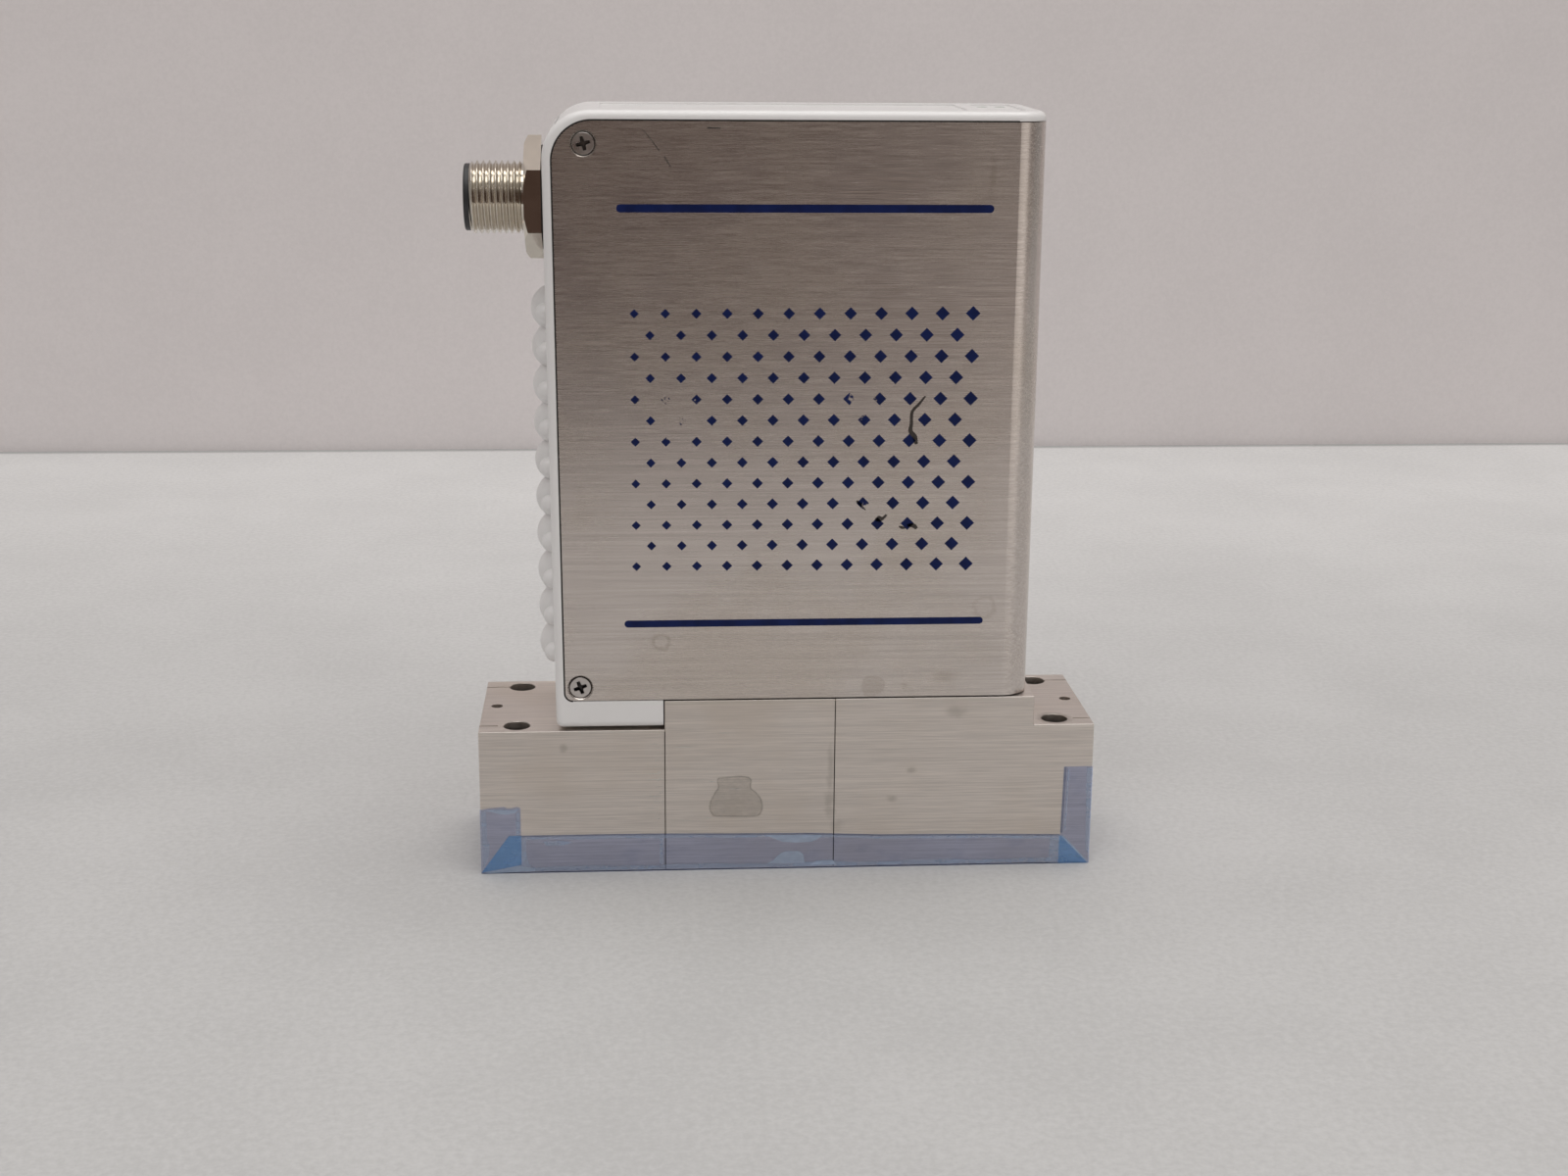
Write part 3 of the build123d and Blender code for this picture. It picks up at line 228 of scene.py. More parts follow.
def brushed(name, colour, rough, streak, anisotropy, stains):
    """Brushed steel with short grain along X; stains(tree, colour) may change the colour."""
    t = Tree(name)
    grain = t.noise(t.stretch(0.14, 6.5, 6.5), 1.0, 2.0, 0.6)
    lines = t.noise(t.stretch(0.035, 3.6, 3.6, (9.0, 4.0, 2.0)), 1.0, 3.0, 0.6)
    cloud = t.noise(t.stretch(0.045, 0.045, 0.045, (3.0, 1.0, 7.0)), 1.0, 3.0, 0.6)
    both = t.math("ADD", t.math("MULTIPLY", grain, 0.5), t.math("MULTIPLY", lines, 0.5))
    dark = tuple(c * (1.0 - streak) for c in colour)
    light = tuple(min(1.0, c * (1.0 + 0.6 * streak)) for c in colour)
    shade = t.mix(t.ramp(both, 0.32, 0.68), dark, light)
    brown = (colour[0] * 0.90, colour[1] * 0.86, colour[2] * 0.80)
    shade = t.mix(t.ramp(cloud, 0.40, 0.70, 0.0, 0.45), shade, brown)
    roughness = t.math("ADD", t.ramp(grain, 0.25, 0.75, rough - 0.03, rough + 0.04),
                       t.ramp(cloud, 0.3, 0.7, -0.01, 0.03))
    shade = stains(t, shade)
    t.bump(both, 0.0045)
    tangent = t.nt.nodes.new("ShaderNodeTangent")
    tangent.direction_type = "RADIAL"
    tangent.axis = "Z"
    return t.set(Base_Color=shade, Metallic=1.0, Roughness=roughness, Anisotropic=anisotropy,
                 Anisotropic_Rotation=0.25, Tangent=tangent.outputs[0])


def cover_stains(t, shade):
    """Stains and dried rings on the front sheet, in their photographed places."""
    wobble = t.math("SUBTRACT", t.noise(t.stretch(0.8, 0.8, 0.8), 1.0, 3.0), 0.5)
    blots = t.blots(((14.1, 32.6, 1.9, 1.5, 0.3, 0.7, 0.7), (26.5, 34.0, 3.0, 1.6, 0.9, 1.2, 0.5),
                     (19.5, 32.8, 1.0, 0.7, 0.9, 1.0, 0.6), (32.0, 118.0, 0.8, 4.0, 0.9, 2.0, 0.7)), wobble)
    centres = ((-21.6, 40.9, 1.3, 0.8), (14.1, 32.6, 1.6, 0.7), (32.9, 46.3, 1.7, 0.45))
    rings = [t.product(t.ring(x, z, r, 0.55, wobble, 1.6), strength) for x, z, r, strength in centres]
    return t.mix(t.product(t.most(blots, *rings), t.front(), 0.42), shade, (0.34, 0.29, 0.23))


def bore_painted_shade(t):
    """1 inside the four bolt holes, where painted shade darkens the wall."""
    dx = t.math("SUBTRACT", t.math("ABSOLUTE", t.x), BOLT_X)
    dy = t.math("SUBTRACT", t.math("ABSOLUTE", t.y), BOLT_Y)
    d = t.reach(dx, dy)
    deep = t.ramp(t.z, SHOULDER_Z - 0.3, SHOULDER_Z - 2.2)
    return t.math("MULTIPLY", t.ramp(d, BOLT_R + 0.10, BOLT_R + 0.02), deep)


def base_stains(t, shade):
    """Stains on the blocks' fronts and round the front right hole; painted shade on the sloping edge
    chamfers and inside the bolt holes.
    """
    wobble = t.math("SUBTRACT", t.noise(t.stretch(0.7, 0.7, 0.7), 1.0, 3.0), 0.5)
    faint = t.blots(((17.8, 12.4, 1.4, 0.9, 0.9, 0.8, 1.0), (21.1, 17.5, 1.2, 0.9, 0.9, 0.8, 1.0),
                     (-38.2, 22.4, 0.9, 1.3, 0.8, 0.8, 1.0), (28.5, 28.0, 2.6, 1.6, 0.9, 0.8, 1.0),
                     (7.2, 19.0, 0.8, 5.0, 0.9, 1.2, 0.85), (7.2, 12.5, 1.4, 2.2, 0.9, 1.2, 0.85),
                     (7.2, 10.2, 1.3, 1.6, 0.9, 1.2, 0.85), (7.2, 15.5, 0.9, 2.0, 0.9, 1.2, 0.85),
                     (8.4, 7.6, 1.8, 1.6, 0.9, 1.2, 0.6)), wobble)
    shade = t.mix(t.product(faint, t.front(), 0.35), shade, (0.30, 0.27, 0.23))
    top = t.ramp(t.z, SHOULDER_Z - 0.2, SHOULDER_Z - 0.05)
    d = t.reach(t.math("SUBTRACT", t.x, BOLT_X), t.math("SUBTRACT", t.y, -BOLT_Y))
    d = t.math("MULTIPLY_ADD", wobble, 1.6, d)
    halo = t.product(t.ramp(d, BOLT_R + 1.35, BOLT_R + 0.35), top, 0.35)
    shade = t.mix(halo, shade, (0.26, 0.22, 0.18))
    # Painted shade: faces tilted between front and top, the edge chamfers, are darkened to dim their
    # highlight.
    geometry = t.nt.nodes.new("ShaderNodeNewGeometry")
    split = t.nt.nodes.new("ShaderNodeSeparateXYZ")
    t.nt.links.new(geometry.outputs["True Normal"], split.inputs[0])
    tilt = t.product(split.outputs[1], split.outputs[2])
    slant_painted_shade = t.ramp(t.math("ABSOLUTE", tilt), 0.2, 0.4)
    shade = t.mix(t.math("MULTIPLY", slant_painted_shade, 0.55), shade, (0.12, 0.11, 0.10))
    # Painted shade: near-black inside the bolt holes.
    return t.mix(t.math("MULTIPLY", bore_painted_shade(t), 0.80), shade, (0.03, 0.028, 0.026))


def plain_metal(name, colour, rough, streak=0.06):
    """Turned or plated metal."""
    t = Tree(name)
    cloud = t.noise(t.stretch(0.4, 0.4, 0.4), 1.0, 4.0, 0.6)
    shade = t.mix(t.ramp(cloud, 0.3, 0.7), tuple(c * (1 - streak) for c in colour), colour)
    t.bump(t.noise(t.stretch(6.0, 6.0, 6.0), 1.0, 2.0), 0.002)
    roughness = t.ramp(cloud, 0.25, 0.75, rough * 0.8, rough * 1.2)
    return t.set(Base_Color=shade, Metallic=1.0, Roughness=roughness)


def plastic(name, colour, rough, grain=0.004, spread=0.04, coat=0.0, transmission=0.0):
    """Moulded plastic with a faint texture and slightly uneven tone."""
    t = Tree(name)
    cloud = t.noise(t.stretch(0.06, 0.06, 0.06, (2.0, 5.0, 1.0)), 1.0, 3.0, 0.6)
    fine = t.noise(t.stretch(5.0, 5.0, 5.0), 1.0, 3.0, 0.6)
    shade = t.mix(t.ramp(cloud, 0.3, 0.7), tuple(c * (1 - spread) for c in colour), colour)
    t.bump(fine, grain)
    return t.set(Base_Color=shade, Roughness=t.ramp(fine, 0.2, 0.8, rough * 0.88, rough * 1.12),
                 Coat_Weight=coat, Transmission_Weight=transmission)


MATERIALS = {
    "base": brushed("base_steel", (0.77, 0.71, 0.66), 0.38, 0.17, 0.4, base_stains),
    "cover": brushed("cover_steel", (0.69, 0.63, 0.59), 0.24, 0.18, 0.50, cover_stains),
    "inner": plain_metal("inner_steel", (0.62, 0.60, 0.58), 0.28),
    "screw": plain_metal("screw_steel", (0.62, 0.58, 0.55), 0.30),
    # Painted shade for the screw heads: near-black in the gap round each head and in the lower cross, dark
    # grey in the upper cross.
    "screw_deep_shade": plain_metal("screw_recess_deep_shade", (0.07, 0.063, 0.06), 0.42),
    "screw_light_shade": plain_metal("screw_recess_light_shade", (0.16, 0.145, 0.135), 0.35),
    "screw_rim": plain_metal("countersink", (0.80, 0.77, 0.74), 0.14),
    "nickel": plain_metal("nickel", (0.67, 0.62, 0.545), 0.11),
    "gold": plain_metal("gold", (0.85, 0.62, 0.25), 0.18),
    "copper": plain_metal("copper", (0.80, 0.45, 0.28), 0.30),
    "can": plain_metal("capacitor_can", (0.75, 0.75, 0.76), 0.22),
    "white": plastic("housing_white", (0.84, 0.83, 0.825), 0.30, 0.003, 0.03, 0.25),
    "black": plastic("black_plastic", (0.025, 0.025, 0.027), 0.45),
    "rubber": plastic("rubber", (0.02, 0.02, 0.02), 0.6),
    "cream": plastic("cream_nylon", (0.74, 0.70, 0.58), 0.5),
    "green": plastic("board_green", (0.03, 0.20, 0.09), 0.35),
    "amber": plastic("amber_film", (0.55, 0.28, 0.06), 0.3),
    "red": plastic("lead_red", (0.50, 0.04, 0.03), 0.45),
    "light": plastic("light_guide", (0.25, 0.42, 0.30), 0.25, 0.002, 0.04, 0.0, 0.3),
    "seat": plastic("seat_plastic", (0.80, 0.79, 0.74), 0.5),
}

NODE_MATERIAL = {
    "base": ["inlet_block", "bypass_block", "outlet_block"],
    "cover": ["steel_cover"],
    "inner": ["seam_seals", "gallery_plug", "laminar_flow_element", "sensor_seals", "sensor_base",
              "sensor_tube", "sensor_can", "valve_orifice", "valve_body_seal", "core_tube", "plunger",
              "pole_piece", "plunger_spring", "coil_yoke", "board_bracket"],
    "screw": ["inlet_tie_screws", "outlet_tie_screws", "sensor_screws", "valve_screws", "foot_screws",
              "bracket_screw", "board_screws", "coil_nut", "cover_screws"],
    "nickel": ["m12_shell", "m12_locknut"],
    "gold": ["m12_pins"],
    "copper": ["sensor_windings"],
    "can": ["board_capacitors"],
    "white": ["housing"],
    "black": ["m12_insert", "processor_chip", "board_chips", "power_converter", "coil_bobbin"],
    "rubber": ["m12_seal"],
    "cream": ["board_headers", "board_link"],
    "green": ["main_board", "connector_board"],
    "amber": ["sensor_flex", "coil_winding"],
    "red": ["valve_leads"],
    "light": ["status_lights"],
    "seat": ["plunger_seal"],
}
for key, nodes in NODE_MATERIAL.items():
    for node in nodes:
        data = frame["nodes"][node].data
        data.materials.clear()
        data.materials.append(MATERIALS[key])


# ---------------------------------------------------------------- mesh helpers
def new_object(name, verts, faces, material, smooth=False):
    """Mesh from millimetre points."""
    mesh = bpy.data.meshes.new(name)
    mesh.from_pydata([(x * MM, y * MM, z * MM) for x, y, z in verts], [], faces)
    mesh.materials.append(material)
    for polygon in mesh.polygons:
        polygon.use_smooth = smooth
    obj = bpy.data.objects.new(name, mesh)
    bpy.context.scene.collection.objects.link(obj)
    return obj


def piece(obj):
    """A visible piece that rides on the controller."""
    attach(obj, BODY)
    return obj


# ---------------------------------------------------------------- print on the front sheet
INK_LIFT = 0.03
INK_Y = FRONT - INK_LIFT
RULE_ROUND = 8
RULES = ((-28.3, 32.3, 112.8, 1.3), (-27.7, 32.6, 44.1, 1.2))    # left, right, height, thickness
FIELD_ROWS, FIELD_COLUMNS = 13, 12
FIELD_LEFT, FIELD_TOP = -25.6, 96.0
FIELD_PITCH_X, FIELD_PITCH_Z = 5.0, 3.5
LOZENGE, LOZENGE_GROWTH = 0.75, 0.45


def print_material():
    """Navy ink, scratched through in a few patches."""
    t = Tree("navy_print")
    wear = t.noise(t.stretch(2.2, 2.2, 2.2, (4.0, 0.0, 1.0)), 1.0, 4.0, 0.6)
    patches = ((-19.0, 80.0, 6.5, 9.0, 0.8), (11.5, 81.5, 4.5, 5.0, 0.8), (13.0, 63.0, 4.0, 3.0, 0.8))
    patch = t.most(*[t.spot(*place) for place in patches])
    edge = t.math("SUBTRACT", 0.86, t.math("MULTIPLY", patch, 0.42))
    gone = t.ramp(wear, edge, t.math("ADD", edge, 0.02))
    cloud = t.noise(t.stretch(0.4, 0.4, 0.4), 1.0, 3.0)
    shade = t.mix(t.ramp(cloud, 0.3, 0.7), (0.002, 0.008, 0.058), (0.004, 0.013, 0.085))
    t.set(Base_Color=shade, Roughness=0.42, Specular_IOR_Level=0.2, Alpha=t.math("SUBTRACT", 1.0, gone))
    return t.material


def bar_outline(x0, x1, z, thick):
    """Points of a bar with round ends."""
    r = thick / 2
    points = []
    for centre, start in ((x1 - r, -90), (x0 + r, 90)):
        for k in range(RULE_ROUND + 1):
            a = math.radians(start + 180 * k / RULE_ROUND)
            points.append((centre + r * math.cos(a), INK_Y, z + r * math.sin(a)))
    return points


def print_marks():
    """Two rules and a staggered field of small lozenges."""
    verts, faces = [], []

    def add(points):
        faces.append(tuple(range(len(verts), len(verts) + len(points))))
        verts.extend(points)

    for rule in RULES:
        add(bar_outline(*rule))
    for row in range(FIELD_ROWS):
        z = FIELD_TOP - row * FIELD_PITCH_Z
        shift = 0.5 * (row % 2)
        for column in range(FIELD_COLUMNS - row % 2):
            x = FIELD_LEFT + (column + shift) * FIELD_PITCH_X
            size = LOZENGE + LOZENGE_GROWTH * (column + shift) / (FIELD_COLUMNS - 1)
            add([(x + size, INK_Y, z), (x, INK_Y, z + size), (x - size, INK_Y, z), (x, INK_Y, z - size)])
    piece(new_object("cover_print", verts, faces, print_material()))


print_marks()


# ---------------------------------------------------------------- round connector with a real thread
THREAD_ROOT, THREAD_PITCH, THREAD_X1 = 5.36, 1.0, -43.7
CONNECTOR_BORE, RELIEF_R = 5.0, 5.15
THREAD_SIDES, THREAD_STEP = 96, 0.06


def circle(x, r):
    """Points of a circle round the connector's axis."""
    turns = [2 * math.pi * k / THREAD_SIDES for k in range(THREAD_SIDES)]
    return [(x, r * math.cos(a), M12_Z + r * math.sin(a)) for a in turns]


def thread_radius(x, turn):
    """Radius of the M12 x 1 thread at x, with its ends run out."""
    phase = ((x - THREAD_X0) / THREAD_PITCH - turn) % 1.0
    wave = abs(2.0 * phase - 1.0)
    wave = min(1.0, max(0.0, (wave - 0.10) / 0.78))
    r = THREAD_ROOT + (THREAD_R - THREAD_ROOT) * wave
    lead_in = THREAD_R - 0.55 + (x - THREAD_X0) * 0.9
    run_out = THREAD_ROOT + 0.1 + max(0.0, (THREAD_X1 - x)) * 1.2
    return min(r, lead_in, run_out)


def connector_shell():
    """The connector's hexagon from the part, with a cut thread in place of the plain cylinder."""
    source = frame["nodes"]["m12_shell"].data
    limit = (THREAD_X1 - 0.05) * MM
    keep = [p for p in source.polygons if all(source.vertices[v].co.x > limit for v in p.vertices)]
    verts = [tuple(c / MM for c in v.co) for v in source.vertices]
    faces = [tuple(p.vertices) for p in keep]
    around = THREAD_SIDES
    count = int((THREAD_X1 - THREAD_X0) / THREAD_STEP) + 1
    start = len(verts)
    for i in range(count + 1):
        x = min(THREAD_X1, THREAD_X0 + i * THREAD_STEP)
        for k in range(around):
            a = 2 * math.pi * k / around
            r = thread_radius(x, k / around)
            verts.append((x, r * math.cos(a), M12_Z + r * math.sin(a)))
    for i in range(count):
        for k in range(around):
            a = start + i * around + k
            b = start + i * around + (k + 1) % around
            faces.append((a, b, b + around, a + around))
    last = start + count * around
    inner = len(verts)
    verts += circle(THREAD_X0, CONNECTOR_BORE) + circle(THREAD_X1, RELIEF_R)
    for k in range(around):
        n = (k + 1) % around
        faces.append((start + n, start + k, inner + k, inner + n))
        faces.append((last + k, last + n, inner + around + n, inner + around + k))
    obj = new_object("connector_shell", verts, faces, MATERIALS["nickel"])
    bm = bmesh.new()
    bm.from_mesh(obj.data)
    bmesh.ops.delete(bm, geom=[v for v in bm.verts if not v.link_faces], context="VERTS")
    bmesh.ops.remove_doubles(bm, verts=bm.verts, dist=0.0005 * MM)
    bmesh.ops.recalc_face_normals(bm, faces=bm.faces)
    bm.to_mesh(obj.data)
    bm.free()
    for polygon in obj.data.polygons:
        polygon.use_smooth = polygon.center.x < (THREAD_X1 - 0.01) * MM
    piece(obj)
    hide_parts("m12_shell")


connector_shell()


# ---------------------------------------------------------------- cover screws with cross recesses
SCREWS = [(-33.4, 122.9, 15.0), (-35.2, 33.05, 20.0)]    # x, z and the turn of the cross in degrees
HEAD_R, SINK_R = 1.82, 2.12
SINK_SLOPE, SINK_DEPTH, GAP_DEPTH = 0.16, 0.30, 0.46
CROSS_W, CROSS_L, CROSS_DEPTH, CROSS_HEART = 0.27, 1.12, 0.85, 0.62
HEAD_RINGS, HEAD_SIDES = 46, 120


def head_depth(u, v):
    """Depth below the sheet's face at a place on a countersunk head, in millimetres."""
    r = math.hypot(u, v)
    if r > SINK_R - SINK_SLOPE:
        return SINK_DEPTH * min(1.0, (SINK_R - r) / SINK_SLOPE)
    if r > HEAD_R + 0.06:
        return GAP_DEPTH
    rim = 0.10 + 0.30 * max(0.0, (r - HEAD_R + 0.14) / 0.20) ** 2
    across, along = min(abs(u), abs(v)), max(abs(u), abs(v))
    inside = min(CROSS_W - across + 0.10 * (1.0 - along / CROSS_L), CROSS_L - along)
    inside = max(inside, CROSS_HEART - (across + along))
    return rim + min(CROSS_DEPTH, max(0.0, inside) * 5.0)


def cover_screws():
    """Four countersunk heads in their recesses, front and back."""
    rings, around = HEAD_RINGS, HEAD_SIDES
    verts, faces = [], []
    for x, z, turn in SCREWS:
        for side in (-1, 1):
            start = len(verts)
            verts.append((x, side * (HALF_WIDTH - head_depth(0, 0)), z))
            for i in range(1, rings + 1):
                r = SINK_R * i / rings
                for k in range(around):
                    a = 2 * math.pi * k / around
                    u, v = r * math.cos(a), r * math.sin(a)
                    t = math.radians(turn)
                    x1, z1 = u * math.cos(t) + v * math.sin(t), v * math.cos(t) - u * math.sin(t)
                    verts.append((x + side * -u, side * (HALF_WIDTH - head_depth(x1, z1)), z + v))
            for k in range(around):
                faces.append((start, start + 1 + k, start + 1 + (k + 1) % around))
            for i in range(rings - 1):
                for k in range(around):
                    a = start + 1 + i * around + k
                    b = start + 1 + i * around + (k + 1) % around
                    faces.append((a, a + around, b + around, b))
    obj = new_object("cover_screw_heads", verts, faces, MATERIALS["screw"])
    for name in ("screw_deep_shade", "screw_rim", "screw_light_shade"):
        obj.data.materials.append(MATERIALS[name])
    for polygon in obj.data.polygons:
        depth = HALF_WIDTH - abs(polygon.center.y) / MM
        here = (polygon.center.x / MM, polygon.center.z / MM)
        x, z = min(((x, z) for x, z, _ in SCREWS), key=lambda c: math.dist(c, here))
        r = math.dist((x, z), here)
        # Painted shade: the ring between head and countersink and the crosses take the dark recess colours.
        if r > SINK_R - 0.14:
            polygon.material_index = 2
        elif r > HEAD_R - 0.06:
            polygon.material_index = 1
        elif depth > 0.30:
            polygon.material_index = 3 if z > 100.0 else 1
    bm = bmesh.new()
    bm.from_mesh(obj.data)
    bmesh.ops.recalc_face_normals(bm, faces=bm.faces)
    bm.to_mesh(obj.data)
    bm.free()
    piece(obj)
    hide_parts("cover_screws")


cover_screws()


# ---------------------------------------------------------------- painted shadow in the joint round the front sheet
SHEET_Z0, SHEET_Z1 = [corner[2] for corner in box_mm("steel_cover")]
SHEET_X0, SHEET_LEAN = -37.74, 0.00733
SHEET_R, SHEET_LOW_R = 6.4, 1.3
JOINT, JOINT_LIFT = 0.24, 0.02


def sheet_outline(grow):
    """Points along the front sheet's left edge and top, from its low corner to the bend."""
    ends = (SHEET_Z0 + SHEET_LOW_R, SHEET_Z1 - SHEET_R)
    left = [(SHEET_X0 - grow - SHEET_LEAN * (z - SHEET_Z0), z) for z in ends]
    points = []
    for k in range(9):
        a = math.radians(270 - 90 * k / 8)
        r = SHEET_LOW_R + grow
        points.append((SHEET_X0 + SHEET_LOW_R + r * math.cos(a), SHEET_Z0 + SHEET_LOW_R + r * math.sin(a)))
    points += left
    for k in range(25):
        a = math.radians(180 - 90 * k / 24)
        r = SHEET_R + grow
        points.append((left[1][0] + grow + SHEET_R + r * math.cos(a), SHEET_Z1 - SHEET_R + r * math.sin(a)))
    return points + [(36.0, SHEET_Z1 + grow)]


def joint_line():
    """Dark strip over the gap between the sheet and the moulding, a painted shadow, on the front and the
    back.
    """
    verts, faces = [], []
    inner, outer = sheet_outline(-0.03), sheet_outline(JOINT)
    for side in (-1, 1):
        start = len(verts)
        for a, b in zip(inner, outer):
            verts += [(x, side * (HALF_WIDTH + JOINT_LIFT), z) for x, z in (a, b)]
        for k in range(start, start + 2 * len(inner) - 2, 2):
            faces.append((k, k + 1, k + 3, k + 2))
    # Painted shadow: a near-black strip where the gap between sheet and moulding lies in shade.
    gap_shadow_paint = plastic("joint_painted_shadow", (0.014, 0.012, 0.011), 0.7)
    piece(new_object("sheet_joint", verts, faces, gap_shadow_paint))


joint_line()


# ---------------------------------------------------------------- marks and scratches on the metal, painted shade in the seams
SEAM_HALF, SEAM_TOP, SEAM_LIFT = 0.07, 30.2, 0.01
STAIN_Y = FRONT - 0.006


def flat_metal(name, colour, rough, alpha):
    """Thin smear or dark scratch."""
    t = Tree(name)
    cloud = t.noise(t.stretch(1.5, 1.5, 1.5), 1.0, 3.0)
    shade = t.mix(t.ramp(cloud, 0.3, 0.7), tuple(c * 0.7 for c in colour), colour)
    return t.set(Base_Color=shade, Roughness=rough,
                 Alpha=t.ramp(cloud, 0.2, 0.5, alpha * 0.75, alpha))


def ribbon(verts, faces, points, widths):
    """Adds a strip of varying width through points on the front face."""
    start = len(verts)
    for i, (x, z) in enumerate(points):
        ax, az = points[max(0, i - 1)]
        bx, bz = points[min(len(points) - 1, i + 1)]
        length = math.hypot(bx - ax, bz - az)
        nx, nz = -(bz - az) / length, (bx - ax) / length
        w = widths[i] / 2
        verts.append((x + nx * w, INK_Y, z + nz * w))
        verts.append((x - nx * w, INK_Y, z - nz * w))
    for i in range(len(points) - 1):
        a = start + 2 * i
        faces.append((a, a + 1, a + 3, a + 2))


def smooth_path(points, widths, per=6):
    """Catmull-Rom samples through points, with their widths."""
    out, wide = [], []
    for i in range(len(points) - 1):
        p0, p1, p2, p3 = (points[max(0, min(len(points) - 1, j))] for j in (i - 1, i, i + 1, i + 2))
        for k in range(per):
            t = k / per
            out.append(tuple(0.5 * (2 * b + (c - a) * t + (2 * a - 5 * b + 4 * c - d) * t * t
                                    + (3 * b - a - 3 * c + d) * t ** 3)
                             for a, b, c, d in zip(p0, p1, p2, p3)))
            wide.append(widths[i] + (widths[i + 1] - widths[i]) * t)
    return out + [points[-1]], wide + [widths[-1]]


def closed_path(points):
    """Smooth closed outline through points."""
    loop = points[-2:] + points + points[:2]
    curve, _ = smooth_path(loop, [0.0] * len(loop), 5)
    return curve[10:-11]


def stain_metal(name, colour, alpha):
    """Thin stain: a slightly darker film on the brushed metal."""
    t = Tree(name)
    cloud = t.noise(t.stretch(0.6, 1.6, 1.6), 1.0, 4.0, 0.7)
    fade = t.ramp(cloud, 0.30, 0.65, alpha * 0.55, alpha)
    return t.set(Base_Color=colour, Metallic=1.0, Roughness=0.42, Alpha=fade)


def flask_stain():
    """Dried drop on the middle block: a faint fill and a darker rim."""
    outline = closed_path([(-12.0, 16.6), (-12.0, 15.0), (-12.5, 14.1), (-13.3, 12.5), (-13.5, 11.3),
                           (-13.2, 10.3), (-12.4, 9.7), (-9.0, 9.6), (-5.6, 9.6), (-4.7, 10.3),
                           (-4.5, 11.5), (-4.8, 12.8), (-5.6, 13.9), (-6.5, 14.8), (-6.6, 16.5),
                           (-9.2, 16.9)])
    fill = new_object("drop_stain", [(x, STAIN_Y, z) for x, z in outline], [tuple(range(len(outline)))],
                      stain_metal("drop_fill", (0.56, 0.52, 0.47), 0.26))
    verts, faces = [], []
    ribbon(verts, faces, outline + outline[:1], [0.3] * (len(outline) + 1))
    rim = new_object("drop_rim", verts, faces, stain_metal("drop_edge", (0.40, 0.36, 0.30), 0.24))
    piece(fill)
    piece(rim)


def marks():
    """Pen smears and dark scratches on the sheet, and bright nicks on the base, most at the left seam."""
    verts, faces = [], []
    smears = [([(21.9, 82.4), (20.9, 81.1), (19.8, 79.8), (19.7, 77.8), (19.6, 76.6), (20.3, 75.6),
                (20.6, 74.4)],
               [0.25, 0.45, 0.5, 0.55, 0.75, 0.85, 0.5]),
              ([(10.9, 64.9), (11.6, 64.2), (12.4, 63.3)], [0.35, 0.45, 0.1]),
              ([(14.0, 61.6), (14.7, 61.8), (15.3, 61.9), (15.9, 62.5)], [0.3, 1.1, 0.5, 0.35]),
              ([(18.0, 60.5), (18.5, 60.3), (19.1, 60.2)], [0.15, 0.5, 0.2]),
              ([(19.4, 60.6), (20.0, 60.7), (20.6, 60.5), (21.0, 60.1)], [0.3, 0.7, 0.75, 0.5])]
    for points, widths in smears:
        ribbon(verts, faces, *smooth_path(points, widths))
    smear = new_object("pen_smears", verts, faces, flat_metal("smear", (0.045, 0.036, 0.030), 0.45, 0.92))
    piece(smear)
    verts, faces = [], []
    for points, widths in [([(-24.1, 125.2), (-22.8, 123.7), (-21.4, 121.8)], [0.05, 0.12, 0.14]),
                           ([(-20.6, 120.9), (-19.6, 119.3)], [0.20, 0.14]),
                           ([(-13.8, 125.4), (-11.7, 125.35)], [0.22, 0.16])]:
        ribbon(verts, faces, *smooth_path(points, widths))
    scratch = flat_metal("scratch", (0.05, 0.045, 0.04), 0.5, 0.9)
    piece(new_object("dark_scratches", verts, faces, scratch))
    verts, faces = [], []
    for _ in range(26):
        z = random.uniform(8.0, 23.5)
        x1 = random.uniform(-22.4, -21.35)
        length = random.choice((0.5, 0.8, 1.3, 2.6))
        points = [(x1 - length, z), (x1 - length / 2, z + 0.02), (x1, z)]
        ribbon(verts, faces, points, [0.03, random.uniform(0.05, 0.1), 0.03])
    nicks = ((-13.1, 16.0, 1.3), (-9.4, 14.65, 1.9), (-17.5, 9.0, 1.2), (-13.9, 9.4, 1.6),
             (-8.9, 14.6, 2.0), (-11.0, 24.7, 2.2), (-18.0, 22.3, 3.2), (-1.0, 17.9, 0.3))
    for x, z, length in nicks:
        ribbon(verts, faces, [(x - length / 2, z), (x, z + 0.02), (x + length / 2, z)], [0.03, 0.1, 0.03])
    piece(new_object("bright_nicks", verts, faces, MATERIALS["screw_rim"]))


def seam_lines():
    """Dark strips over the seams between the blocks, painted shade in the gaps, on the front and the back.
    """
    xs = [corner[0] / MM for corner in frame["nodes"]["bypass_block"].bound_box]
    ends = ((min(xs), SHOULDER_Z - 0.3), (max(xs), SEAM_TOP))
    verts, faces = [], []
    for x, top in ends:
        for side in (-1, 1):
            k = len(verts)
            y = side * (HALF_WIDTH + SEAM_LIFT)
            corners = ((-1, 0.2), (1, 0.2), (1, top), (-1, top))
            verts += [(x + sign * SEAM_HALF, y, z) for sign, z in corners]
            faces.append((k, k + 1, k + 2, k + 3))
    # Painted shade: near-black strips where the gaps between the blocks lie in shade.
    seam_shade_paint = plastic("seam_painted_shade", (0.030, 0.024, 0.020), 0.7)
    piece(new_object("seam_lines", verts, faces, seam_shade_paint))


seam_lines()
flask_stain()
marks()


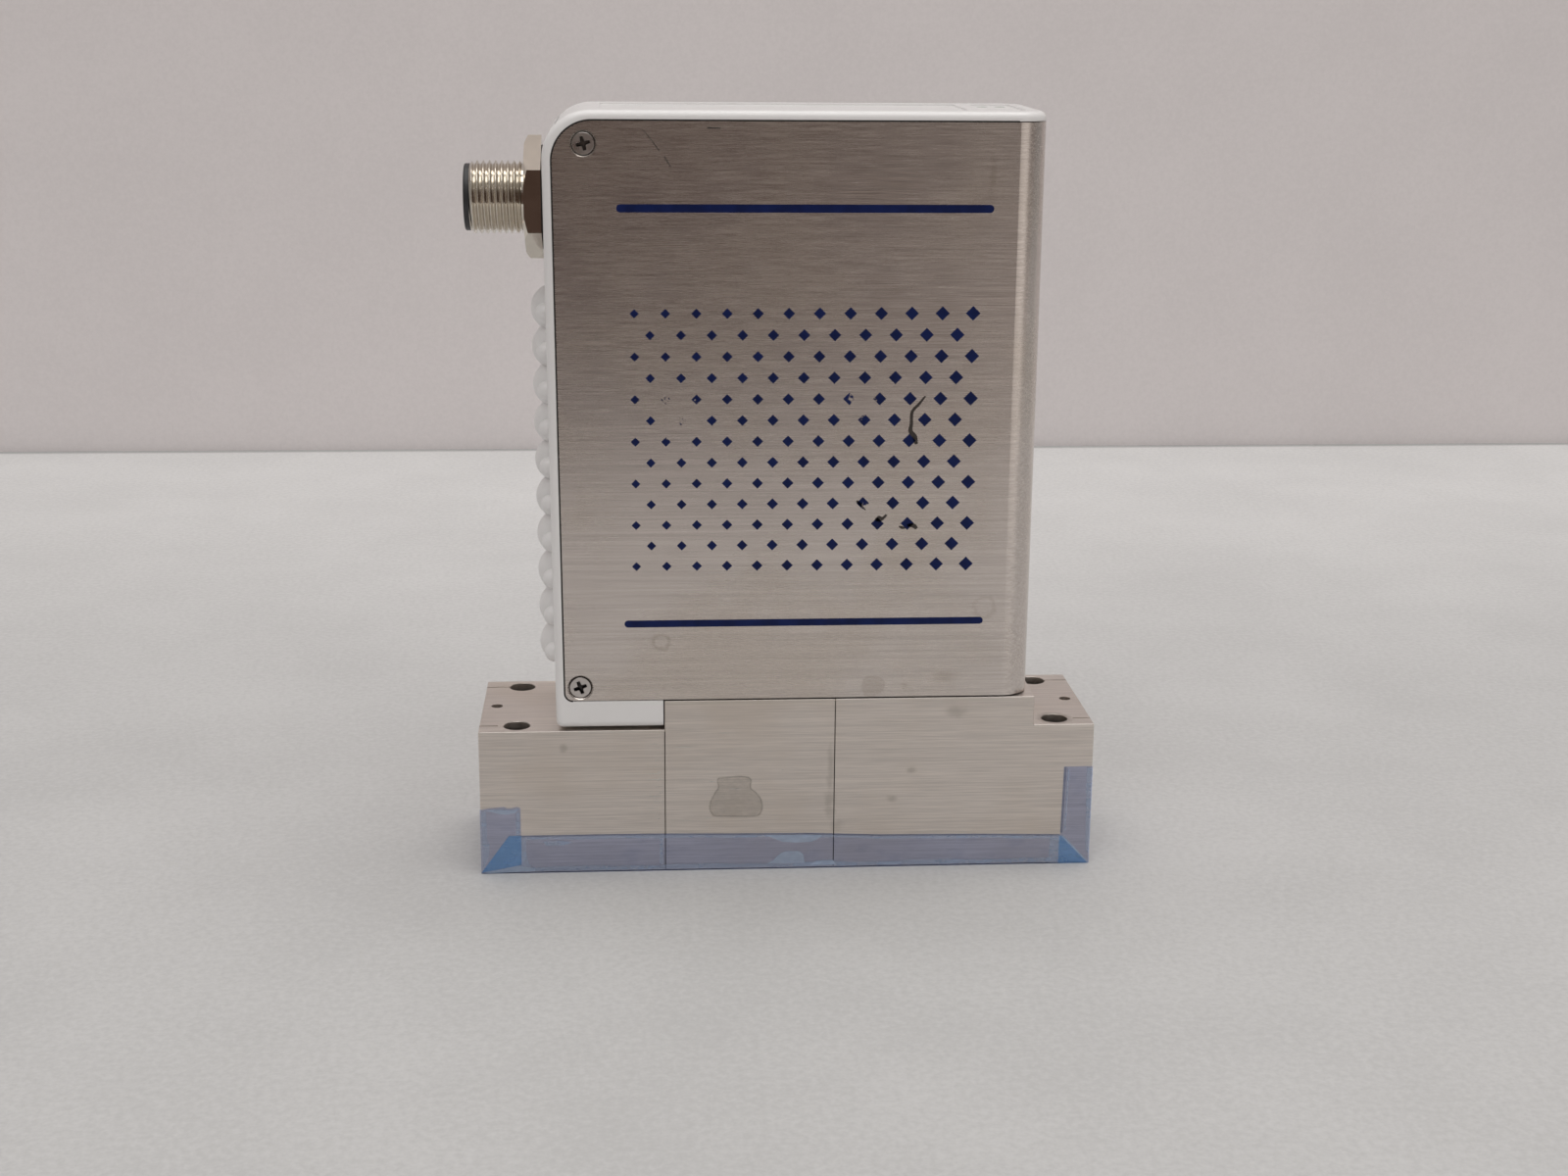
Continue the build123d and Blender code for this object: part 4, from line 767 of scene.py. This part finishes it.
# ---------------------------------------------------------------- protective film
def film_material(name, tint, milk, milk_amount, patchy, gloss=0.0):
    """Blue adhesive film: clear where it is stuck down, milky and shinier where it stands off."""
    t = Tree(name)
    tree = t.nt
    clear = tree.nodes.new("ShaderNodeBsdfTransparent")
    clear.inputs[0].default_value = (*tint, 1.0)
    loose = t.noise(t.stretch(0.25, 0.25, 0.6, (1.0, 6.0, 3.0)), 1.0, 3.0, 0.6)
    amount = t.math("MULTIPLY_ADD", t.ramp(loose, 0.52, 0.68), patchy, milk_amount, True)
    t.set(Base_Color=milk, Roughness=0.28, Specular_IOR_Level=0.5)
    blend = tree.nodes.new("ShaderNodeMixShader")
    t.put(amount, blend.inputs[0])
    tree.links.new(clear.outputs[0], blend.inputs[1])
    tree.links.new(t.bsdf.outputs[0], blend.inputs[2])
    shine = tree.nodes.new("ShaderNodeBsdfAnisotropic")
    shine.inputs["Color"].default_value = (0.78, 0.87, 1.0, 1.0)
    shine.inputs["Roughness"].default_value = 0.3
    both = tree.nodes.new("ShaderNodeMixShader")
    t.put(t.ramp(loose, 0.35, 0.70, 0.75 * gloss, 1.2 * gloss), both.inputs[0])
    tree.links.new(blend.outputs[0], both.inputs[1])
    tree.links.new(shine.outputs[0], both.inputs[2])
    tree.links.new(both.outputs[0], t.out.inputs[0])
    return t.material


FILM = film_material("film_stuck", (0.880, 0.905, 0.975), (0.22, 0.33, 0.62), 0.015, 0.03)
FILM_LIFT = film_material("film_lifted", (1.0, 1.0, 1.0), (0.40, 0.62, 1.0), 0.14, 0.08, 0.17)
FILM_LOOSE = film_material("film_loose", (1.0, 1.0, 1.0), (0.50, 0.70, 1.0), 0.28, 0.06, 0.25)
FILM_DOUBLE = film_material("film_double", (0.72, 0.89, 1.0), (0.08, 0.40, 1.0), 0.24, 0.05, 0.11)
FILM_EDGE = film_material("film_cut_edge", (0.80, 0.82, 0.86), (0.10, 0.14, 0.22), 0.06, 0.05, 0.02)
FILM_OUT = 0.08
FILM_LEFT, FILM_RIGHT = -HALF_LEN - FILM_OUT, HALF_LEN + FILM_OUT
FILM_Y = FRONT - 0.04
FOLD_Y, LOOSE_Y, CUT_Y = FILM_Y - 0.04, FILM_Y - 0.045, FILM_Y - 0.05
EAR_LEFT, EAR_RIGHT = -45.7, 47.3
CUT_WIDTH = 0.26
STRIP_TOP = [(EAR_LEFT, 6.75), (-30.9, 6.75), (-21.5, 6.7), (-9.0, 6.5), (3.9, 6.35), (16.1, 5.85),
             (33.3, 5.65), (EAR_RIGHT, 5.3)]


def film_sheet(name, points, material, thick=0.03, axis=1, out=-1):
    """Flat film from its outline, extruded a little outwards, or one face when thick is 0."""
    verts = [tuple(p) for p in points]
    n = len(verts)
    if thick == 0.0:
        return new_object(name, verts, [tuple(range(n))], material)
    for p in points:
        q = list(p)
        q[axis] += out * thick
        verts.append(tuple(q))
    faces = [tuple(range(n)), tuple(reversed(range(n, 2 * n)))]
    faces += [(k, (k + 1) % n, n + (k + 1) % n, n + k) for k in range(n)]
    return new_object(name, verts, faces, material)


def strip_top(x):
    """Height of the front strip's cut edge at x."""
    for (x0, z0), (x1, z1) in zip(STRIP_TOP, STRIP_TOP[1:]):
        if x <= x1:
            return z0 + (z1 - z0) * max(0.0, x - x0) / (x1 - x0)
    return STRIP_TOP[-1][1]


def low_border(x):
    """Top of the unstuck band along the strip's foot."""
    return 1.0 + 0.10 * math.sin(0.31 * x) + 0.06 * math.sin(0.93 * x + 1.0)


def high_border(x):
    """Foot of the unstuck band along the strip's top edge."""
    return strip_top(x) - 0.75 - 0.06 * math.sin(0.5 * x)


def band(name, x0, x1, low, high):
    """A loose border between two heights given as functions of x."""
    count = 90
    xs = [x0 + (x1 - x0) * k / count for k in range(count + 1)]
    points = [(x, LOOSE_Y, low(x)) for x in xs] + [(x, LOOSE_Y, high(x)) for x in reversed(xs)]
    return film_sheet(name, points, FILM_LIFT, 0.0)


def patch(name, outline, material, y):
    """Flat film patch from a smooth outline of x and z."""
    return film_sheet(name, [(x, y, z) for x, z in outline], material, 0.0)


def film_front():
    """Front strip and the two ears that stand up at its ends."""
    strip = [(EAR_LEFT, FILM_Y, FLOOR_Z), (EAR_RIGHT, FILM_Y, FLOOR_Z)]
    strip += [(x, FILM_Y, z) for x, z in reversed(STRIP_TOP)]
    left_ear = [(FILM_LEFT, FLOOR_Z), (EAR_LEFT, FLOOR_Z), (EAR_LEFT, 11.75), (-46.3, 12.0), (-47.2, 11.75),
                (-47.9, 11.7), (-48.5, 12.05), (-49.7, 11.9), (-51.0, 11.8), (FILM_LEFT, 11.55)]
    right_ear = [(EAR_RIGHT, FLOOR_Z), (FILM_RIGHT, FLOOR_Z), (FILM_RIGHT, 17.75), (EAR_RIGHT + 0.3, 17.7)]
    parts = [film_sheet("film_front", strip, FILM)]
    for name, outline in (("film_left_ear", left_ear), ("film_right_ear", right_ear)):
        parts.append(film_sheet(name, [(x, FILM_Y, z) for x, z in outline], FILM))
    return parts


def film_folds():
    """Doubled corners and the crease on the right one."""
    left_fold = [(FILM_LEFT, 0.1), (-52.1, 0.2), (EAR_LEFT, 1.4), (EAR_LEFT, 6.75), (-47.8, 6.75)]
    right_fold = [(52.4, FLOOR_Z), (47.7, 5.05), (47.2, 5.1), (47.2, FLOOR_Z)]
    crease = [(52.4, FLOOR_Z), (52.5, 0.2), (47.8, 5.2), (47.6, 4.9)]
    return [patch("film_left_fold", left_fold, FILM_DOUBLE, FOLD_Y),
            patch("film_right_fold", right_fold, FILM_DOUBLE, FOLD_Y),
            patch("film_fold_crease", crease, FILM_LOOSE, LOOSE_Y)]


def film_loose():
    """Bands and patches where the film stands off the steel."""
    parts = [band("film_loose_low", -43.4, 45.8, lambda x: 0.25, low_border),
             band("film_loose_high", -44.8, 45.6, high_border, lambda x: strip_top(x) - 0.28)]
    loose = {
        "ear_crescent": [(-52.0, 11.4), (-50.7, 11.2), (-49.5, 10.8), (-48.1, 10.65), (-46.6, 10.9),
                         (-45.9, 11.6), (-47.5, 11.45), (-50.0, 11.6)],
        "ear_left": [(-52.35, 11.3), (-51.5, 11.2), (-51.5, 6.4), (-51.1, 5.2), (-51.2, 3.4), (-52.3, 0.6)],
        "ear_right": [(-46.5, 10.8), (-45.85, 11.2), (-45.85, 6.9), (-46.5, 6.9)],
        "under_fold": [(-52.0, 0.05), (-51.0, 0.35), (EAR_LEFT, 1.3), (-44.6, 0.9), (-43.4, 0.9),
                       (-43.4, 0.25), (-46.0, 0.2), (-51.0, 0.0)],
        "strip_left": [(-45.6, 6.5), (-44.95, 6.5), (-44.85, 3.1), (-44.4, 1.6), (-43.7, 0.95),
                       (-44.6, 0.95), (-45.6, 1.4)],
        "seam_left": [(-22.0, 6.0), (-21.5, 6.0), (-21.5, 1.1), (-22.1, 1.1)],
        "right_ear_left": [(48.25, 17.3), (48.5, 17.3), (48.25, 5.9), (48.0, 6.0)],
        "right_ear_right": [(51.5, 17.5), (52.5, 17.6), (52.5, 1.6), (51.9, 2.3)],
        "strip_right": [(45.6, 5.1), (47.15, 5.1), (47.15, 0.0), (44.8, 0.2), (45.5, 1.2)],
        "dome": [(-3.6, 0.9), (-2.5, 1.5), (-1.9, 2.2), (-1.2, 2.8), (-0.3, 3.1), (1.8, 3.1), (2.6, 2.5),
                 (2.9, 0.9)],
        "under_top": [(-3.8, 6.1), (-2.1, 5.3), (-0.8, 4.8), (1.5, 4.65), (4.0, 4.7), (4.9, 5.1),
                      (5.9, 5.95)],
        "low_bump": [(3.8, 0.5), (4.9, 1.25), (7.8, 1.35), (8.3, 0.5)],
        "faint": [(-42.0, 5.6), (-39.0, 5.7), (-36.8, 5.4), (-38.5, 4.9), (-41.5, 4.9)],
    }
    for name, outline in loose.items():
        strong = name in ("dome", "under_top", "low_bump", "ear_crescent", "under_fold")
        parts.append(patch(f"film_{name}", outline, FILM_LOOSE if strong else FILM_LIFT, LOOSE_Y - 0.01))
    return parts


def film_cuts():
    """Dull cut edges of the strip and of the right ear."""
    cut = [(x, z - CUT_WIDTH) for x, z in STRIP_TOP] + list(reversed(STRIP_TOP))
    ear_cut = [(47.55, 17.7), (48.0, 17.7), (47.75, 5.6), (47.35, 5.6)]
    return [patch("film_cut_edge", cut, FILM_EDGE, CUT_Y),
            patch("film_cut_right_ear", ear_cut, FILM_EDGE, CUT_Y)]


def film_hidden():
    """The film behind the base, over its ends and under it."""
    back = [(FILM_LEFT, FLOOR_Z), (FILM_RIGHT, FLOOR_Z), (FILM_RIGHT, 17.5), (EAR_RIGHT, 17.6),
            (EAR_RIGHT, 6.3), (EAR_LEFT, 6.3), (EAR_LEFT, 11.3), (FILM_LEFT, 11.6)]
    parts = [film_sheet("film_back", [(x, -FILM_Y, z) for x, z in back], FILM, 0.03, 1, 1)]
    ends = (("film_left_end", -HALF_LEN - 0.04, 11.5, -1), ("film_right_end", HALF_LEN + 0.04, 17.5, 1))
    for name, x, h, out in ends:
        corners = ((-1, FLOOR_Z), (1, FLOOR_Z), (1, h), (-1, h))
        outline = [(x, side * HALF_WIDTH, z) for side, z in corners]
        parts.append(film_sheet(name, outline, FILM, 0.03, 0, out))
    corners = ((FILM_LEFT, -1), (FILM_RIGHT, -1), (FILM_RIGHT, 1), (FILM_LEFT, 1))
    under = [(x, side * HALF_WIDTH, -0.02) for x, side in corners]
    return parts + [film_sheet("film_under", under, FILM, 0.06, 2, -1)]


for sheet in film_front() + film_folds() + film_loose() + film_cuts() + film_hidden():
    piece(sheet)
    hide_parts("protective_film")


# ---------------------------------------------------------------- bench, backdrop, light and camera
WALL_Y = 352.0
WARM = (1.0, 0.985, 0.97)


def stage_material(name, colour, grain, see_back, near=1.0):
    """Pale bench or backdrop with a faint grain; the bench has painted shade, darker in its middle, and a
    painted shadow where it meets the backdrop; the backdrop lets views from behind through.
    """
    t = Tree(name)
    fine = t.noise(t.stretch(0.8, 0.8, 0.8), 1.0, 2.0, 0.7)
    broad = t.noise(t.stretch(0.02, 0.02, 0.02), 1.0, 3.0, 0.6)
    lines = t.math("ADD", t.math("MULTIPLY", fine, 0.6), t.math("MULTIPLY", broad, 0.4))
    shade = t.mix(t.ramp(lines, 0.3, 0.7), tuple(c * (1 - grain) for c in colour), colour)
    # Painted shade: the bench is darkened by up to 1 - near from about y -160 to 30 mm, fading out towards
    # -280 and 330 mm.
    middle_painted_shade = t.ramp(t.y, 30.0, 330.0, 1.0 - near, 0.0)
    shade = t.mix(t.math("MULTIPLY", middle_painted_shade, t.ramp(t.y, -280.0, -160.0)), shade, (0.0, 0.0, 0.0))
    # Painted shadow: a dark strip on the bench just in front of the backdrop.
    wall_foot_shadow = t.ramp(t.y, WALL_Y - 5.0, WALL_Y - 1.5, 0.0, 0.0 if see_back else 0.45)
    shade = t.mix(wall_foot_shadow, shade, (0.05, 0.05, 0.05))
    t.set(Base_Color=shade, Roughness=0.6, Specular_IOR_Level=0.0 if see_back else 0.4)
    if see_back:
        clear = t.nt.nodes.new("ShaderNodeBsdfTransparent")
        geometry = t.nt.nodes.new("ShaderNodeNewGeometry")
        blend = t.nt.nodes.new("ShaderNodeMixShader")
        t.put(geometry.outputs["Backfacing"], blend.inputs[0])
        t.nt.links.new(t.bsdf.outputs[0], blend.inputs[1])
        t.nt.links.new(clear.outputs[0], blend.inputs[2])
        t.nt.links.new(blend.outputs[0], t.out.inputs[0])
    return t.material


def bench():
    """Floor and wall."""
    side, near, high = 1500.0, -345.0, 1200.0
    floor = [(-side, near, FLOOR_Z), (side, near, FLOOR_Z), (side, WALL_Y, FLOOR_Z),
             (-side, WALL_Y, FLOOR_Z)]
    wall = [(-side, WALL_Y, FLOOR_Z), (side, WALL_Y, FLOOR_Z), (side, WALL_Y, high), (-side, WALL_Y, high)]
    floor = new_object("bench", floor, [(0, 1, 2, 3)],
                       stage_material("bench_white", (0.80, 0.80, 0.795), 0.14, False, 0.76))
    wall = new_object("backdrop", wall, [(0, 1, 2, 3)],
                      stage_material("backdrop_white", (0.80, 0.76, 0.76), 0.06, True))


def area_light(name, place, target, size, size_y, power, colour=(1.0, 1.0, 1.0), mirrored=True):
    """Rectangular lamp in metres and watts; one that is not mirrored only fills the shade."""
    data = bpy.data.lights.new(name, "AREA")
    data.shape = "RECTANGLE"
    data.size = size
    data.size_y = size_y
    data.energy = power
    data.color = colour
    obj = bpy.data.objects.new(name, data)
    bpy.context.scene.collection.objects.link(obj)
    obj.location = place
    obj.rotation_euler = (Vector(target) - Vector(place)).to_track_quat("-Z", "Y").to_euler()
    obj.visible_glossy = mirrored


def world():
    """Soft room: bright ceiling, grey sides, a pale door on the right and brown shade in front."""
    w = bpy.data.worlds.new("room")
    bpy.context.scene.world = w
    w.use_nodes = True
    n = Nodes(w.node_tree)
    out = n.nt.nodes.new("ShaderNodeOutputWorld")
    back = n.nt.nodes.new("ShaderNodeBackground")
    coord = n.nt.nodes.new("ShaderNodeTexCoord")
    split = n.nt.nodes.new("ShaderNodeSeparateXYZ")
    n.nt.links.new(coord.outputs["Generated"], split.inputs[0])
    x, y, z = split.outputs
    azimuth = n.math("ARCTAN2", x, n.math("MULTIPLY", y, -1.0))
    right = n.mix(n.ramp(z, -0.03, -0.15), (0.12, 0.103, 0.093), (0.48, 0.42, 0.382))
    colour = n.mix(n.ramp(azimuth, -0.05, 0.35), (0.075, 0.047, 0.038), right)
    colour = n.mix(n.ramp(azimuth, -0.6, -1.3), colour, (0.32, 0.30, 0.29))
    door = n.math("MULTIPLY", n.ramp(azimuth, 0.15, 0.46), n.ramp(azimuth, 0.95, 0.60))
    colour = n.mix(door, colour, (0.70, 0.65, 0.61))
    colour = n.mix(n.ramp(n.math("ABSOLUTE", azimuth), 1.2, 1.7), colour, (0.30, 0.285, 0.275))
    colour = n.mix(n.ramp(z, -0.25, -0.6), colour, (0.05, 0.04, 0.035))
    ceiling = n.mix(n.ramp(z, 0.6, 1.0), (0.40, 0.385, 0.375), (0.62, 0.61, 0.60))
    colour = n.mix(n.ramp(z, 0.25, 0.66), colour, ceiling)
    path = n.nt.nodes.new("ShaderNodeLightPath")
    colour = n.mix(path.outputs["Is Camera Ray"], colour, (0.55, 0.54, 0.535))
    n.put(colour, back.inputs[0])
    back.inputs[1].default_value = 1.0
    n.nt.links.new(back.outputs[0], out.inputs[0])


def camera():
    """Camera matrix from the fitted yaw, pitch and roll."""
    forward = Vector((math.sin(YAW) * math.cos(PITCH), math.cos(YAW) * math.cos(PITCH), -math.sin(PITCH)))
    level = Vector((math.cos(YAW), -math.sin(YAW), 0.0))
    above = level.cross(forward)
    right = level * math.cos(ROLL) + above * math.sin(ROLL)
    up = above * math.cos(ROLL) - level * math.sin(ROLL)
    data = bpy.data.cameras.new("camera")
    data.sensor_width = SENSOR
    data.sensor_fit = "HORIZONTAL"
    data.lens = FOCAL_PX * SENSOR / IMAGE_W
    data.clip_start = 0.01
    obj = bpy.data.objects.new("camera", data)
    bpy.context.scene.collection.objects.link(obj)
    m = Matrix((right, up, -forward)).transposed().to_4x4()
    m.translation = Vector(EYE) * MM
    obj.matrix_world = m
    bpy.context.scene.camera = obj


bench()
area_light("ceiling_front", (0.10, -0.42, 1.30), (0.0, 0.0, 0.06), 1.3, 0.50, 4.6, WARM)
area_light("ceiling_back", (0.05, 0.25, 1.35), (0.0, 0.05, 0.0), 1.3, 0.50, 5.4, WARM)
area_light("tube_high", (0.05, -1.50, 1.18), (0.0, 0.0, 0.10), 0.16, 0.10, 0.22)
area_light("tube_low", (0.0, -2.00, 0.50), (0.0, 0.0, 0.10), 0.25, 0.05, 0.035)
area_light("front_fill", (-0.35, -1.20, 0.60), (0.0, 0.0, 0.05), 0.9, 0.6, 2.1, WARM, False)
world()
camera()
bpy.context.scene.view_settings.view_transform = "Standard"
